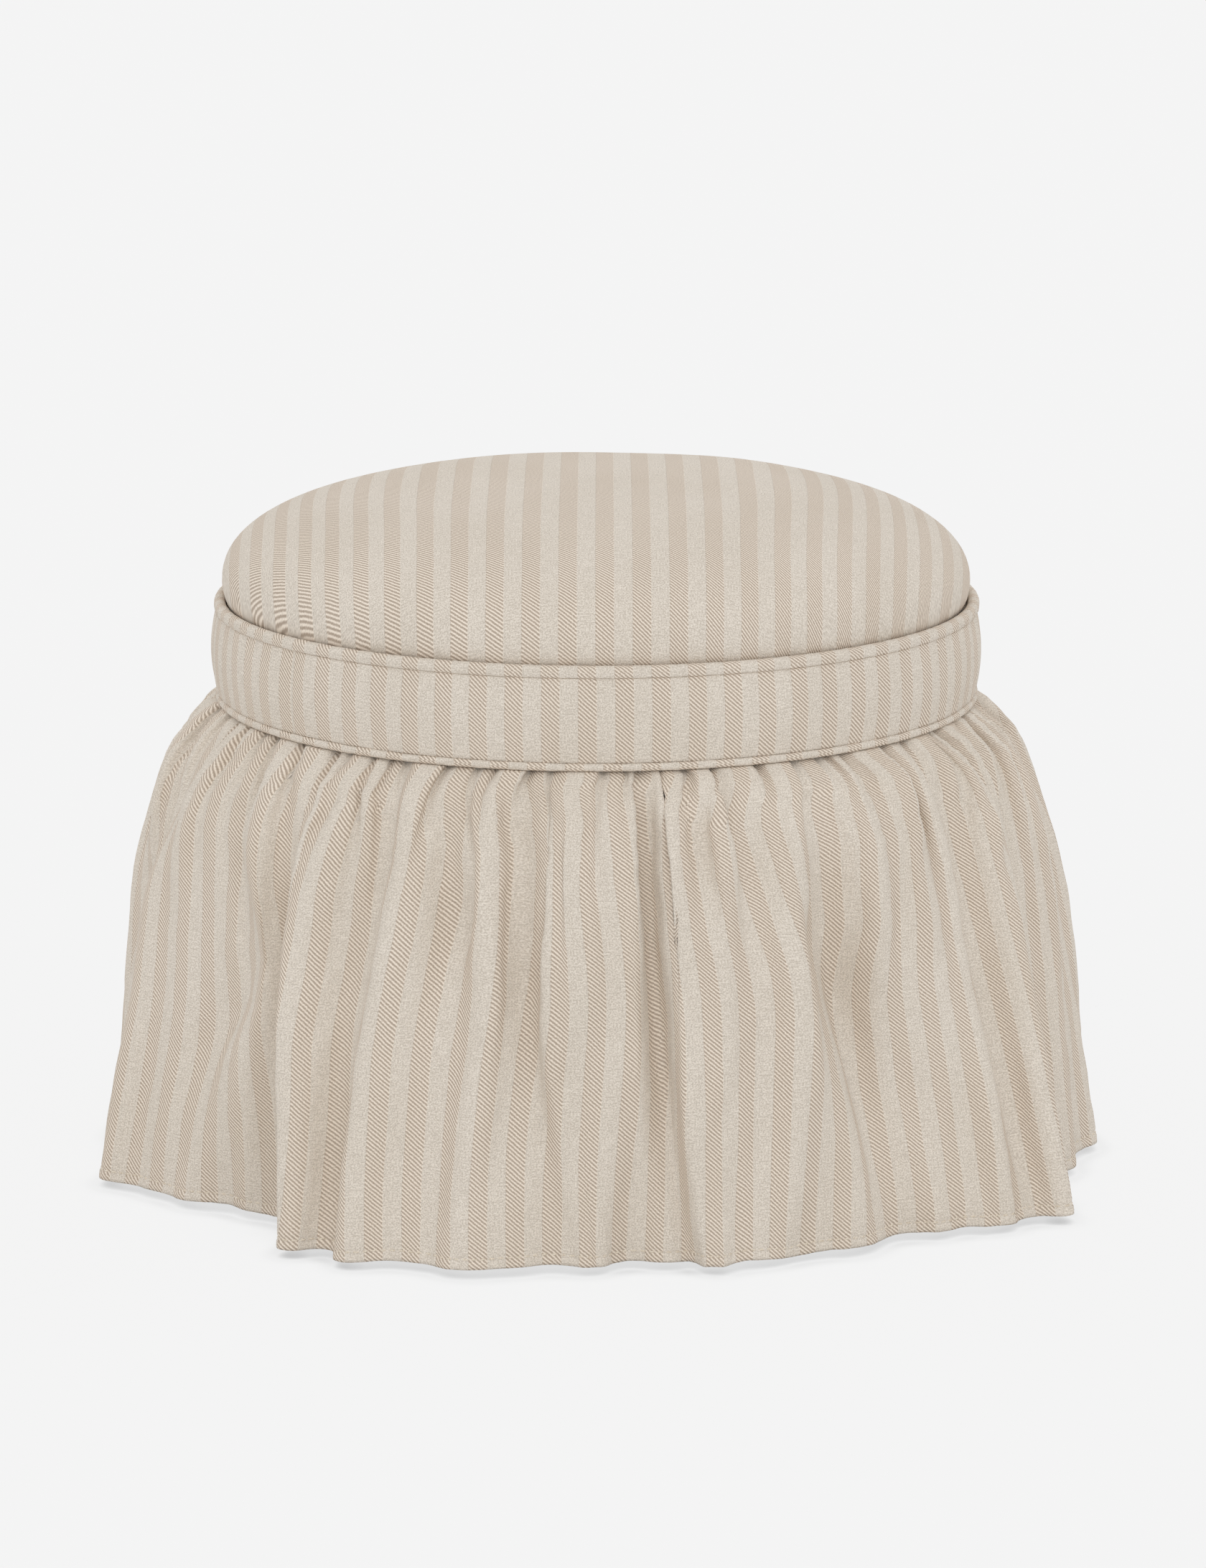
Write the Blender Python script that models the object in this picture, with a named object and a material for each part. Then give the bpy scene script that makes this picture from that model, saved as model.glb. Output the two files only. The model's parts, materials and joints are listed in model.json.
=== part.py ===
"""Round storage ottoman: a skirted drum with a banded rim and a lift-off cushion lid.

Metres, +Z up. The origin is on the floor under the middle of the drum, and the front faces -Y.
"""

import math

import bmesh
import bpy

# Clearances
SEAT_GAP = 0.0003  # left between two pieces that rest on or against each other
LID_PLUG_CLEARANCE = 0.003  # round the lid's locating plug, so that the lid lifts out freely
LID_SEAT_CLEARANCE = 0.008  # foot of the lid's sides, in from the welt round its seat

# Feet and base
GLIDE_COUNT = 4
GLIDE_HEIGHT = 0.010
GLIDE_RADIUS = 0.014
GLIDE_EDGE = 0.0025  # chamfer round the foot of a glide
GLIDE_INSET = 0.053  # middle of a glide, in from the base board's edge
GLIDE_SCREW_RECESS = 0.003  # screw head above the glide's foot
DUST_COVER_THICKNESS = 0.0008
BASE_BOARD_THICKNESS = 0.012
FLOOR_LINER_THICKNESS = 0.002

# Drum
DRUM_RADIUS = 0.241  # outside of the bent wall
DRUM_WALL = 0.003
DRUM_HEIGHT = 0.357  # underside of the base board to the top of the rim
RIM_RING_WIDTH = 0.028
RIM_RING_THICKNESS = 0.015
POST_COUNT = 6
POST_WIDTH = 0.030
POST_DEPTH = 0.022
WALL_LINER_THICKNESS = 0.0014

# Upholstered band round the rim
COVER_THICKNESS = 0.0014
BAND_PADDING = 0.0095  # wadding at the band's edges
BAND_BULGE = 0.003  # how much fuller the band is at mid height
BAND_HEIGHT = 0.0535  # lower edge to the top of the rim
BAND_TURN_IN = 0.018  # cover left on the rim's top, inside the drum wall
UPPER_WELT_RADIUS = 0.0040
UPPER_WELT_PROUD = 0.0015  # how far a welt stands out past the band's edge
LOWER_WELT_RADIUS = 0.0027
LOWER_WELT_PROUD = 0.0012
WELT_COVER = 0.0009  # cloth round a welt cord
WELT_SLIT_DEG = 70  # part of the round that the cloth leaves open, where its flange runs in
UPPER_WELT_SLIT_AT_DEG = 225  # down and in, onto the rim
LOWER_WELT_SLIT_AT_DEG = 180  # straight in, to the drum

# Skirt
SKIRT_THICKNESS = 0.0015
SKIRT_LAP = 0.010  # gathered heading that runs up behind the band
TACK_STRIP_HEIGHT = 0.009
TACK_STRIP_THICKNESS = 0.0012
HEM_CLEARANCE = 0.006  # hem above the floor
SKIRT_PUFF = 0.0356  # how far the gathers spring out under the band
SKIRT_PUFF_DROP = 0.027  # drop over which most of that happens
SKIRT_SLOPE = 0.134  # further flare for each metre of drop
# Rows of the skirt between its welt and its hem: drop below the welt, entry in the fold lines, and share
# of their depth
SKIRT_ROWS = ((0.012, 0, 0.4), (0.040, 0, 1.0), (0.120, 1, 1.0))
HEM_ENTRY = 2

# Fold lines of the skirt, crests and valleys in turn, over its front half from left to right. The half
# behind repeats all but the two at the sides. Each has its angle from the front towards +X in degrees, and
# its stand-out in millimetres, at 40 mm and at 120 mm below the welt and at the hem
MILLIMETRE = 0.001
SKIRT_FOLDS = (
    ((-88, -90, -92), (2, 5, 1)), ((-75, -81, -82), (-4, -5, -8)), ((-63, -72, -71.5), (4, 7, 12)),
    ((-56, -53, -60), (-6, -13, -11)), ((-48, -46, -52), (5, 3, -28)),
    ((-43.5, -42.5, -42), (-9, -20, -40)), ((-38.5, -39.5, -36), (7, 10, 6)),
    ((-28, -31.5, -32), (-7, -10, 0)), ((-23.5, -25.5, -29), (4, 7, 7)),
    ((-20, -17, -20), (-8, -5, -2)), ((-15, -12.5, -16), (4, 3, 3)), ((-10, -9, -4.5), (-8, -10, -12)),
    ((-6.5, -6, -2), (3, 3, -13)), ((-4, -3.5, 0), (-5, 0, -17)), ((0, 0, 2.5), (4, 4, -20)),
    ((4.5, 4.5, 6), (2, 2, -21)), ((7.2, 7.3, 11), (-12, -15, -22)), ((9, 9.2, 12.5), (5, 6, -8)),
    ((12.5, 12.5, 14.5), (-4, 0, -3)), ((16, 16, 18), (5, 4, -9)), ((21, 20, 22), (-7, 0, -14)),
    ((25.5, 25, 32), (4, 8, -9)), ((31.5, 31.5, 38), (-8, -12, -16)), ((37, 36.5, 45), (4, 3, 1)),
    ((42.5, 42, 49), (-6, -4, 8)), ((48, 48, 52), (5, 4, 15)), ((54, 53, 54.5), (-6, -4, 20)),
    ((60, 59, 57.5), (8, 14, 28)), ((68, 67, 69), (-8, -14, -8)), ((76, 77, 75), (4, 6, 0)),
    ((83, 84, 81), (-4, -2, -3)), ((90, 90, 88), (-2, 8, 9)),
)

# Lid
LID_HEIGHT = 0.0865  # underside to the top of the crown
LID_TUCK = 0.010  # how far the sides draw in from their widest part to the underside
LID_WIDEST = 0.0195  # height of the widest part above the underside
CROWN_SIDE_POWER = 2.77  # roundness of the shoulder, seen in plan
CROWN_TOP_POWER = 2.24  # roundness of the shoulder, seen from the side
LID_TURN_UNDER = 0.042  # cover left on the underside
BATTING_THICKNESS = 0.005
LID_BOARD_THICKNESS = 0.012
LID_LINING_THICKNESS = 0.001
LID_PLUG_THICKNESS = 0.009
PLUG_SCREW_COUNT = 4
PLUG_SCREW_INSET = 0.030  # in from the edge of the turned-under cover

# Wood screws
SCREW_HEAD_RADIUS = 0.0040
SCREW_HEAD_HEIGHT = 0.0030
SCREW_SHANK_RADIUS = 0.0020
SCREW_POINT = 0.004
POST_SCREW_BITE = 0.028  # length in the end of a post
SCREW_POINT_COVER = 0.005  # wood left over the point of a screw in a board

# Facets
SHARP_EDGE_DEG = 35
WELD = 1e-6
ROUND_SEGMENTS = 40  # one count for every ring round the drum, so that nested rings stay parallel
FACET_COLUMNS = 3  # columns of the skirt on each facet of the drum
SMALL_SEGMENTS = 24
SCREW_SEGMENTS = 8
LID_FOOT_STEPS = 2
LID_CROWN_STEPS = 8
BAND_STEPS = 4
WELT_STEPS = 5

# Heights
DUST_COVER_Z = GLIDE_HEIGHT + SEAT_GAP
BASE_Z = DUST_COVER_Z + DUST_COVER_THICKNESS + SEAT_GAP
FLOOR_Z = BASE_Z + BASE_BOARD_THICKNESS
DRUM_TOP_Z = BASE_Z + DRUM_HEIGHT
RIM_RING_Z = DRUM_TOP_Z - RIM_RING_THICKNESS
BAND_TOP_Z = DRUM_TOP_Z + SEAT_GAP + COVER_THICKNESS
BAND_BOTTOM_Z = BAND_TOP_Z - BAND_HEIGHT
LID_Z = BAND_TOP_Z + SEAT_GAP
UPPER_WELT_Z = BAND_TOP_Z + SEAT_GAP + UPPER_WELT_RADIUS
LOWER_WELT_Z = BAND_BOTTOM_Z - SEAT_GAP - LOWER_WELT_RADIUS
SKIRT_TOP_Z = BAND_BOTTOM_Z + SKIRT_LAP
SKIRT_OUT_Z = LOWER_WELT_Z - LOWER_WELT_RADIUS  # where the skirt comes out under its welt

# Radii
DRUM_INSIDE = DRUM_RADIUS - DRUM_WALL
BOARD_RADIUS = DRUM_INSIDE - SEAT_GAP
GLIDE_CIRCLE = BOARD_RADIUS - GLIDE_INSET
RIM_INSIDE = BOARD_RADIUS - RIM_RING_WIDTH
POST_CORNER = DRUM_INSIDE * math.cos(math.pi / ROUND_SEGMENTS) - SEAT_GAP
POST_OUTSIDE = math.sqrt(POST_CORNER**2 - (POST_WIDTH / 2) ** 2)
POST_CIRCLE = POST_OUTSIDE - POST_DEPTH / 2
LINER_OUTSIDE = min(RIM_INSIDE, POST_OUTSIDE - POST_DEPTH) - SEAT_GAP
LINER_INSIDE = LINER_OUTSIDE - WALL_LINER_THICKNESS
BAND_EDGE = DRUM_RADIUS + SEAT_GAP + BAND_PADDING + SEAT_GAP + COVER_THICKNESS
LOWER_WELT_RING = BAND_EDGE + LOWER_WELT_PROUD - LOWER_WELT_RADIUS
UPPER_WELT_RING = BAND_EDGE + UPPER_WELT_PROUD - UPPER_WELT_RADIUS
SKIRT_HEADING = DRUM_RADIUS + SEAT_GAP + SKIRT_THICKNESS
LID_FOOT = UPPER_WELT_RING - UPPER_WELT_RADIUS - LID_SEAT_CLEARANCE
LID_RADIUS = LID_FOOT + LID_TUCK
LID_BOARD_RADIUS = LID_FOOT - BATTING_THICKNESS
LID_TURN_RADIUS = LID_FOOT - LID_TURN_UNDER
LID_PLUG_RADIUS = LINER_INSIDE - LID_PLUG_CLEARANCE
PLUG_SCREW_CIRCLE = LID_TURN_RADIUS - PLUG_SCREW_INSET

# Heights above the lid's underside
LID_BOARD_Z = COVER_THICKNESS + SEAT_GAP
LID_BOARD_TOP = LID_BOARD_Z + LID_BOARD_THICKNESS
PLUG_TOP = -SEAT_GAP
PLUG_BOTTOM = PLUG_TOP - LID_PLUG_THICKNESS


def clear_scene():
    for old in list(bpy.data.objects):
        bpy.data.objects.remove(old)


def material(name, colour, roughness, metallic=0.0):
    made = bpy.data.materials.new(name)
    made.use_nodes = True
    shader = made.node_tree.nodes["Principled BSDF"]
    shader.inputs["Base Color"].default_value = (*colour, 1.0)
    shader.inputs["Roughness"].default_value = roughness
    shader.inputs["Metallic"].default_value = metallic
    return made


def empty(name, height=0.0):
    made = bpy.data.objects.new(name, None)
    made.location.z = height
    bpy.context.scene.collection.objects.link(made)
    return made


def finished(name, shape, finish, parent):
    """The bmesh as an object with its faces pointing out, shaded smooth between its sharp edges."""
    bmesh.ops.remove_doubles(shape, verts=shape.verts, dist=WELD)
    bmesh.ops.recalc_face_normals(shape, faces=shape.faces)
    mesh = bpy.data.meshes.new(name)
    shape.to_mesh(mesh)
    shape.free()
    mesh.shade_smooth()
    mesh.set_sharp_from_angle(angle=math.radians(SHARP_EDGE_DEG))
    mesh.materials.append(finish)
    made = bpy.data.objects.new(name, mesh)
    made.parent = parent
    bpy.context.scene.collection.objects.link(made)
    return made


def spun(outline, segments):
    """An outline of (radius, height) points turned about Z. It closes on itself, or on the axis."""
    shape = bmesh.new()
    corners = [shape.verts.new((radius, 0, height)) for radius, height in outline]
    for start, end in zip(corners, corners[1:] + corners[:1]):
        if start.co.x > 0 or end.co.x > 0:
            shape.edges.new((start, end))
    bmesh.ops.spin(
        shape, geom=shape.verts[:] + shape.edges[:], cent=(0, 0, 0), axis=(0, 0, 1),
        angle=2 * math.pi, steps=segments, use_merge=True,
    )
    return shape


def turned(name, outline, finish, parent, segments=ROUND_SEGMENTS):
    return finished(name, spun(outline, segments), finish, parent)


def ring_outline(inside, outside, bottom, top):
    return [(inside, bottom), (outside, bottom), (outside, top), (inside, top)]


def disc_outline(outside, bottom, top):
    return [(0, bottom), (outside, bottom), (outside, top), (0, top)]


def on_circle(radius, count, first_deg=0.0):
    """(x, y, angle) of points spaced evenly round Z."""
    angles = [math.radians(first_deg + 360 * k / count) for k in range(count)]
    return [(radius * math.cos(a), radius * math.sin(a), a) for a in angles]


def cut(piece, cutter):
    boolean = piece.modifiers.new("holes", "BOOLEAN")
    boolean.operation = "DIFFERENCE"
    boolean.solver = "EXACT"
    boolean.object = cutter


def screw_outline(length):
    """A countersunk screw that points down from its head at 0."""
    return [
        (0, 0), (SCREW_HEAD_RADIUS, 0), (SCREW_SHANK_RADIUS, -SCREW_HEAD_HEIGHT),
        (SCREW_SHANK_RADIUS, SCREW_POINT - length), (0, -length),
    ]


def hole_outline(length, sunk):
    """The hole that clears such a screw, run out past a face that its head is sunk below."""
    head, shank = SCREW_HEAD_RADIUS + SEAT_GAP, SCREW_SHANK_RADIUS + SEAT_GAP
    mouth = sunk + SCREW_HEAD_HEIGHT
    return [
        (0, mouth), (head, mouth), (head, -SEAT_GAP), (shank, -SCREW_HEAD_HEIGHT - SEAT_GAP),
        (shank, SCREW_POINT - length - SEAT_GAP), (0, -length - SEAT_GAP),
    ]


def screws(name, places, height, length, finish, parent, point_up=False, sunk=0.0):
    """A screw at each place, and one hidden cutter with the hole for each."""
    holes = bmesh.new()
    for number, (x, y, angle) in enumerate(places, 1):
        screw = turned(f"{name}_{number}", screw_outline(length), finish, parent, SCREW_SEGMENTS)
        screw.location = (x, y, height)
        screw.rotation_euler = (math.pi if point_up else 0, 0, angle)
        hole = spun(hole_outline(length, sunk), SCREW_SEGMENTS)
        bmesh.ops.transform(hole, matrix=screw.matrix_basis, verts=hole.verts)
        scratch = bpy.data.meshes.new("hole")
        hole.to_mesh(scratch)
        hole.free()
        holes.from_mesh(scratch)
        bpy.data.meshes.remove(scratch)
    cutter = finished(f"{name}_holes", holes, finish, parent)
    cutter.hide_render = True
    cutter.display_type = "WIRE"
    return cutter


def glides(plastic, steel, base):
    """Plastic feet, each held by a screw sunk into its underside."""
    outline = [
        (0, 0), (GLIDE_RADIUS - GLIDE_EDGE, 0), (GLIDE_RADIUS, GLIDE_EDGE),
        (GLIDE_RADIUS, GLIDE_HEIGHT), (0, GLIDE_HEIGHT),
    ]
    places = on_circle(GLIDE_CIRCLE, GLIDE_COUNT, 180 / GLIDE_COUNT)
    length = FLOOR_Z - SCREW_POINT_COVER - GLIDE_SCREW_RECESS
    holes = screws(
        "glide_screw", places, GLIDE_SCREW_RECESS, length, steel, base,
        point_up=True, sunk=GLIDE_SCREW_RECESS,
    )
    for number, (x, y, _) in enumerate(places, 1):
        glide = turned(f"glide_{number}", outline, plastic, base, SMALL_SEGMENTS)
        glide.location = (x, y, 0)
        cut(glide, holes)
    return holes


def posts(pine, steel, base):
    """Uprights between the base board and the rim ring, screwed from below and from above."""
    bottom, top = FLOOR_Z + SEAT_GAP, RIM_RING_Z - SEAT_GAP
    places = on_circle(POST_CIRCLE, POST_COUNT)
    base_length = bottom - BASE_Z + POST_SCREW_BITE
    rim_length = DRUM_TOP_Z - top + POST_SCREW_BITE
    from_below = screws("base_screw", places, BASE_Z, base_length, steel, base, point_up=True)
    from_above = screws("rim_screw", places, DRUM_TOP_Z, rim_length, steel, base)
    for number, (x, y, angle) in enumerate(places, 1):
        shape = bmesh.new()
        bmesh.ops.create_cube(shape, size=1)
        bmesh.ops.scale(shape, vec=(POST_DEPTH, POST_WIDTH, top - bottom), verts=shape.verts)
        post = finished(f"post_{number}", shape, pine, base)
        post.location = (x, y, (bottom + top) / 2)
        post.rotation_euler.z = angle
        cut(post, from_below)
        cut(post, from_above)
    return from_below, from_above


def drum(finishes, base):
    """Base board, bent wall, rim ring and posts, with the lining of the storage space."""
    steel = finishes["steel"]
    foot_holes = glides(finishes["plastic"], steel, base)
    base_holes, rim_holes = posts(finishes["pine"], steel, base)
    cover_top = DUST_COVER_Z + DUST_COVER_THICKNESS
    dust_cover = turned(
        "dust_cover", disc_outline(DRUM_RADIUS, DUST_COVER_Z, cover_top), finishes["cambric"], base
    )
    cut(dust_cover, foot_holes)
    board = turned(
        "base_board", disc_outline(BOARD_RADIUS, BASE_Z, FLOOR_Z), finishes["plywood"], base
    )
    cut(board, foot_holes)
    cut(board, base_holes)
    turned(
        "drum_wall", ring_outline(DRUM_INSIDE, DRUM_RADIUS, BASE_Z, DRUM_TOP_Z),
        finishes["hardboard"], base,
    )
    ring = turned(
        "rim_ring", ring_outline(RIM_INSIDE, BOARD_RADIUS, RIM_RING_Z, DRUM_TOP_Z),
        finishes["plywood"], base,
    )
    cut(ring, rim_holes)
    liner_bottom = FLOOR_Z + SEAT_GAP
    turned(
        "wall_liner", ring_outline(LINER_INSIDE, LINER_OUTSIDE, liner_bottom, DRUM_TOP_Z),
        finishes["lining"], base,
    )
    turned(
        "floor_liner",
        disc_outline(LINER_INSIDE - SEAT_GAP, liner_bottom, liner_bottom + FLOOR_LINER_THICKNESS),
        finishes["lining"], base,
    )


def band_face(inset, low, high):
    """The band's swelling outer face from low to high, moved in by inset."""
    middle, half = (BAND_BOTTOM_Z + BAND_TOP_Z) / 2, BAND_HEIGHT / 2
    heights = [low + (high - low) * k / BAND_STEPS for k in range(BAND_STEPS + 1)]
    return [
        (BAND_EDGE + BAND_BULGE * (1 - ((z - middle) / half) ** 2) - inset, z) for z in heights
    ]


def welt_outline(ring, height, radius, slit_deg):
    """Cloth round a welt cord: a round section, open about slit_deg where its flange runs in."""
    first = math.radians(slit_deg + WELT_SLIT_DEG / 2)
    span = math.radians(360 - WELT_SLIT_DEG)
    angles = [first + span * k / WELT_STEPS for k in range(WELT_STEPS + 1)]
    outer = [(ring + radius * math.cos(a), height + radius * math.sin(a)) for a in angles]
    inner_radius = radius - WELT_COVER
    inner = [
        (ring + inner_radius * math.cos(a), height + inner_radius * math.sin(a)) for a in angles
    ]
    return outer + inner[::-1]


def welt(name, ring, height, radius, slit_deg, finishes, base):
    """A piping cord in its own strip of cloth."""
    turned(
        f"{name}_cover", welt_outline(ring, height, radius, slit_deg), finishes["stripe"], base
    )
    cord_radius = (radius - WELT_COVER) * math.cos(math.pi / WELT_STEPS) - SEAT_GAP
    angles = [2 * math.pi * k / WELT_STEPS for k in range(WELT_STEPS)]
    turned(
        f"{name}_cord",
        [(ring + cord_radius * math.cos(a), height + cord_radius * math.sin(a)) for a in angles],
        finishes["cotton"], base,
    )


def band(finishes, base):
    """Padding and cover round the top of the drum, and the welts along the cover's two edges."""
    outside = band_face(0, BAND_BOTTOM_Z, BAND_TOP_Z)
    inside = band_face(COVER_THICKNESS, BAND_BOTTOM_Z, DRUM_TOP_Z + SEAT_GAP)
    turn_in = DRUM_INSIDE - BAND_TURN_IN
    turned(
        "band_cover",
        outside + [(turn_in, BAND_TOP_Z), (turn_in, DRUM_TOP_Z + SEAT_GAP)] + inside[::-1],
        finishes["stripe"], base,
    )
    bottom = SKIRT_TOP_Z + SEAT_GAP
    back = DRUM_RADIUS + SEAT_GAP
    turned(
        "band_padding",
        band_face(COVER_THICKNESS + SEAT_GAP, bottom, DRUM_TOP_Z) + [(back, DRUM_TOP_Z), (back, bottom)],
        finishes["wadding"], base,
    )
    upper = (UPPER_WELT_RING, UPPER_WELT_Z, UPPER_WELT_RADIUS, UPPER_WELT_SLIT_AT_DEG)
    lower = (LOWER_WELT_RING, LOWER_WELT_Z, LOWER_WELT_RADIUS, LOWER_WELT_SLIT_AT_DEG)
    welt("upper_welt", *upper, finishes, base)
    welt("lower_welt", *lower, finishes, base)


def fold_stand_out(entry, angle_deg):
    """Stand-out of the skirt at an angle: an easy curve from each fold line to the next."""
    front = [(angles[entry], depths[entry] * MILLIMETRE) for angles, depths in SKIRT_FOLDS]
    lines = front + [(angle + 180, depth) for angle, depth in front[1:-1]]
    for (start, here), (end, there) in zip(lines, lines[1:] + lines[:1]):
        along = (angle_deg - start) % 360
        span = (end - start) % 360
        if along < span:
            return here + (there - here) * (1 - math.cos(math.pi * along / span)) / 2
    return lines[0][1]


def skirt_radius(drop, entry, share, angle_deg):
    """Outside of the skirt at a drop below its welt: a quick puff, a steady flare, and the folds."""
    flare = SKIRT_PUFF * (1 - math.exp(-drop / SKIRT_PUFF_DROP)) + SKIRT_SLOPE * drop
    return BAND_EDGE + flare + share * fold_stand_out(entry, angle_deg)


def skirt_slice(azimuth):
    """(radius, height) of the hanging cloth in one upright slice: down its outside, and back up inside."""
    fall = SKIRT_OUT_Z - HEM_CLEARANCE
    hung = [(skirt_radius(*row, azimuth), SKIRT_OUT_Z - row[0]) for row in SKIRT_ROWS]
    hem = skirt_radius(fall, HEM_ENTRY, 1.0, azimuth)
    inside = [(radius - SKIRT_THICKNESS, height - SKIRT_THICKNESS) for radius, height in hung]
    inside.append((hem - SKIRT_THICKNESS, HEM_CLEARANCE))
    return hung + [(hem, HEM_CLEARANCE)] + inside[::-1]


def heading_slice():
    """(radius, height) of the heading at a corner of the drum: down its outside, and back up inside."""
    inside = SKIRT_HEADING - SKIRT_THICKNESS
    turn_out = SKIRT_OUT_Z - SEAT_GAP  # the cloth turns out from the drum just under the welt
    turn_inside = turn_out - 2 * SKIRT_THICKNESS
    outside = [(SKIRT_HEADING, SKIRT_TOP_Z), (SKIRT_HEADING, turn_out)]
    return outside + [(inside, turn_inside), (inside, SKIRT_TOP_Z)]


def upright_points(shape, azimuth, outline):
    """New vertices at an angle for each (radius, height) of an outline."""
    east, south = math.sin(math.radians(azimuth)), -math.cos(math.radians(azimuth))
    return [shape.verts.new((radius * east, radius * south, height)) for radius, height in outline]


def cloth_strip(shape, left, right):
    """Triangles between two slices of the hanging cloth, split along the same lines outside and inside."""
    steps = len(left) - 1
    for k in range(steps):
        corners = [left[k], right[k], right[k + 1], left[k + 1]]
        if k > steps / 2:
            corners = corners[1:] + corners[:1]
        shape.faces.new(corners[:3])
        shape.faces.new(corners[2:] + corners[:1])


def skirt(finishes, base):
    """Gathered skirt: its heading lies on the drum behind a tack strip, and its folds hang free."""
    shape = bmesh.new()
    count = FACET_COLUMNS * ROUND_SEGMENTS
    hung = [upright_points(shape, 360 * k / count, skirt_slice(360 * k / count)) for k in range(count)]
    corners = range(0, count, FACET_COLUMNS)
    headings = [upright_points(shape, 360 * k / count, heading_slice()) for k in corners]
    for left, right in zip(hung, hung[1:] + hung[:1]):
        cloth_strip(shape, left, right)
    for corner, left, right in zip(corners, headings, headings[1:] + headings[:1]):
        for k, after in ((0, 1), (2, 3), (3, 0)):
            shape.faces.new((left[k], right[k], right[after], left[after]))
        # fans from the heading, which has a point on each corner of the drum, to the hanging cloth
        below = [hung[(corner + k) % count] for k in range(FACET_COLUMNS + 1)]
        for turn, end in ((1, 0), (2, -1)):
            row = [column[end] for column in below]
            fan = [(left[turn], row[0], row[1]), (left[turn], row[1], right[turn])]
            fan += [(right[turn], row[k], row[k + 1]) for k in range(1, FACET_COLUMNS)]
            for triangle in fan:
                shape.faces.new(triangle)
    finished("skirt", shape, finishes["stripe"], base)
    strip_inside = SKIRT_HEADING + SEAT_GAP
    turned(
        "tack_strip",
        ring_outline(
            strip_inside, strip_inside + TACK_STRIP_THICKNESS,
            SKIRT_TOP_Z - TACK_STRIP_HEIGHT, SKIRT_TOP_Z,
        ),
        finishes["card"], base,
    )


def lid_surface(inset):
    """(radius, height) up the lid's side and over its crown to the middle, moved in by inset."""
    points = []
    for k in range(LID_FOOT_STEPS):
        a = math.pi / 2 * k / LID_FOOT_STEPS
        points.append((LID_FOOT + LID_TUCK * math.sin(a), LID_WIDEST * (1 - math.cos(a))))
    for k in range(LID_CROWN_STEPS + 1):
        a = math.pi / 2 * k / LID_CROWN_STEPS
        along = max(math.cos(a), 0.0) ** (2 / CROWN_SIDE_POWER)
        up = math.sin(a) ** (2 / CROWN_TOP_POWER)
        points.append((LID_RADIUS * along, LID_WIDEST + (LID_HEIGHT - LID_WIDEST) * up))
    points[-1] = (0, LID_HEIGHT)
    moved = []
    for before, here, after in zip(points[:1] + points, points, points[1:] + points[-1:]):
        run, rise = after[0] - before[0], after[1] - before[1]
        length = math.hypot(run, rise)
        moved.append((here[0] - inset * rise / length, here[1] + inset * run / length))
    moved[-1] = (0, LID_HEIGHT - inset)
    return moved


def above(points, height):
    """The part of a rising outline that is above a height, starting where it crosses it."""
    kept = [p for p in points if p[1] > height]
    below = points[len(points) - len(kept) - 1]
    share = (height - below[1]) / (kept[0][1] - below[1])
    return [(below[0] + share * (kept[0][0] - below[0]), height)] + kept


def lid_cushion(finishes, body):
    """Foam on the board, batting over it and round the board's edge, and the cover turned under."""
    layer = COVER_THICKNESS + SEAT_GAP
    turned(
        "lid_cover",
        [(LID_TURN_RADIUS, COVER_THICKNESS), (LID_TURN_RADIUS, 0)] + lid_surface(0)
        + lid_surface(COVER_THICKNESS)[::-1],
        finishes["stripe"], body,
    )
    board_side = LID_BOARD_RADIUS + SEAT_GAP
    turned(
        "lid_batting",
        [(board_side, LID_BOARD_TOP), (board_side, LID_BOARD_Z)] + lid_surface(layer)
        + above(lid_surface(layer + BATTING_THICKNESS), LID_BOARD_TOP)[::-1],
        finishes["wadding"], body,
    )
    foam_foot = LID_BOARD_TOP + SEAT_GAP
    turned(
        "lid_foam",
        [(0, foam_foot)] + above(lid_surface(layer + BATTING_THICKNESS + SEAT_GAP), foam_foot),
        finishes["foam"], body,
    )


def lid(finishes, body):
    """The cushion, its board, and the lined plug screwed underneath, which centres it in the rim."""
    lid_cushion(finishes, body)
    places = on_circle(PLUG_SCREW_CIRCLE, PLUG_SCREW_COUNT, 180 / PLUG_SCREW_COUNT)
    length = LID_BOARD_TOP - SCREW_POINT_COVER - PLUG_BOTTOM
    holes = screws("plug_screw", places, PLUG_BOTTOM, length, finishes["steel"], body, point_up=True)
    board = turned(
        "lid_board", disc_outline(LID_BOARD_RADIUS, LID_BOARD_Z, LID_BOARD_TOP), finishes["plywood"], body
    )
    plug = turned(
        "lid_plug", disc_outline(LID_PLUG_RADIUS, PLUG_BOTTOM, PLUG_TOP), finishes["plywood"], body
    )
    cut(board, holes)
    cut(plug, holes)
    lining_top = PLUG_BOTTOM - SEAT_GAP
    turned(
        "lid_lining",
        disc_outline(LID_PLUG_RADIUS, lining_top - LID_LINING_THICKNESS, lining_top),
        finishes["lining"], body,
    )


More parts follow.
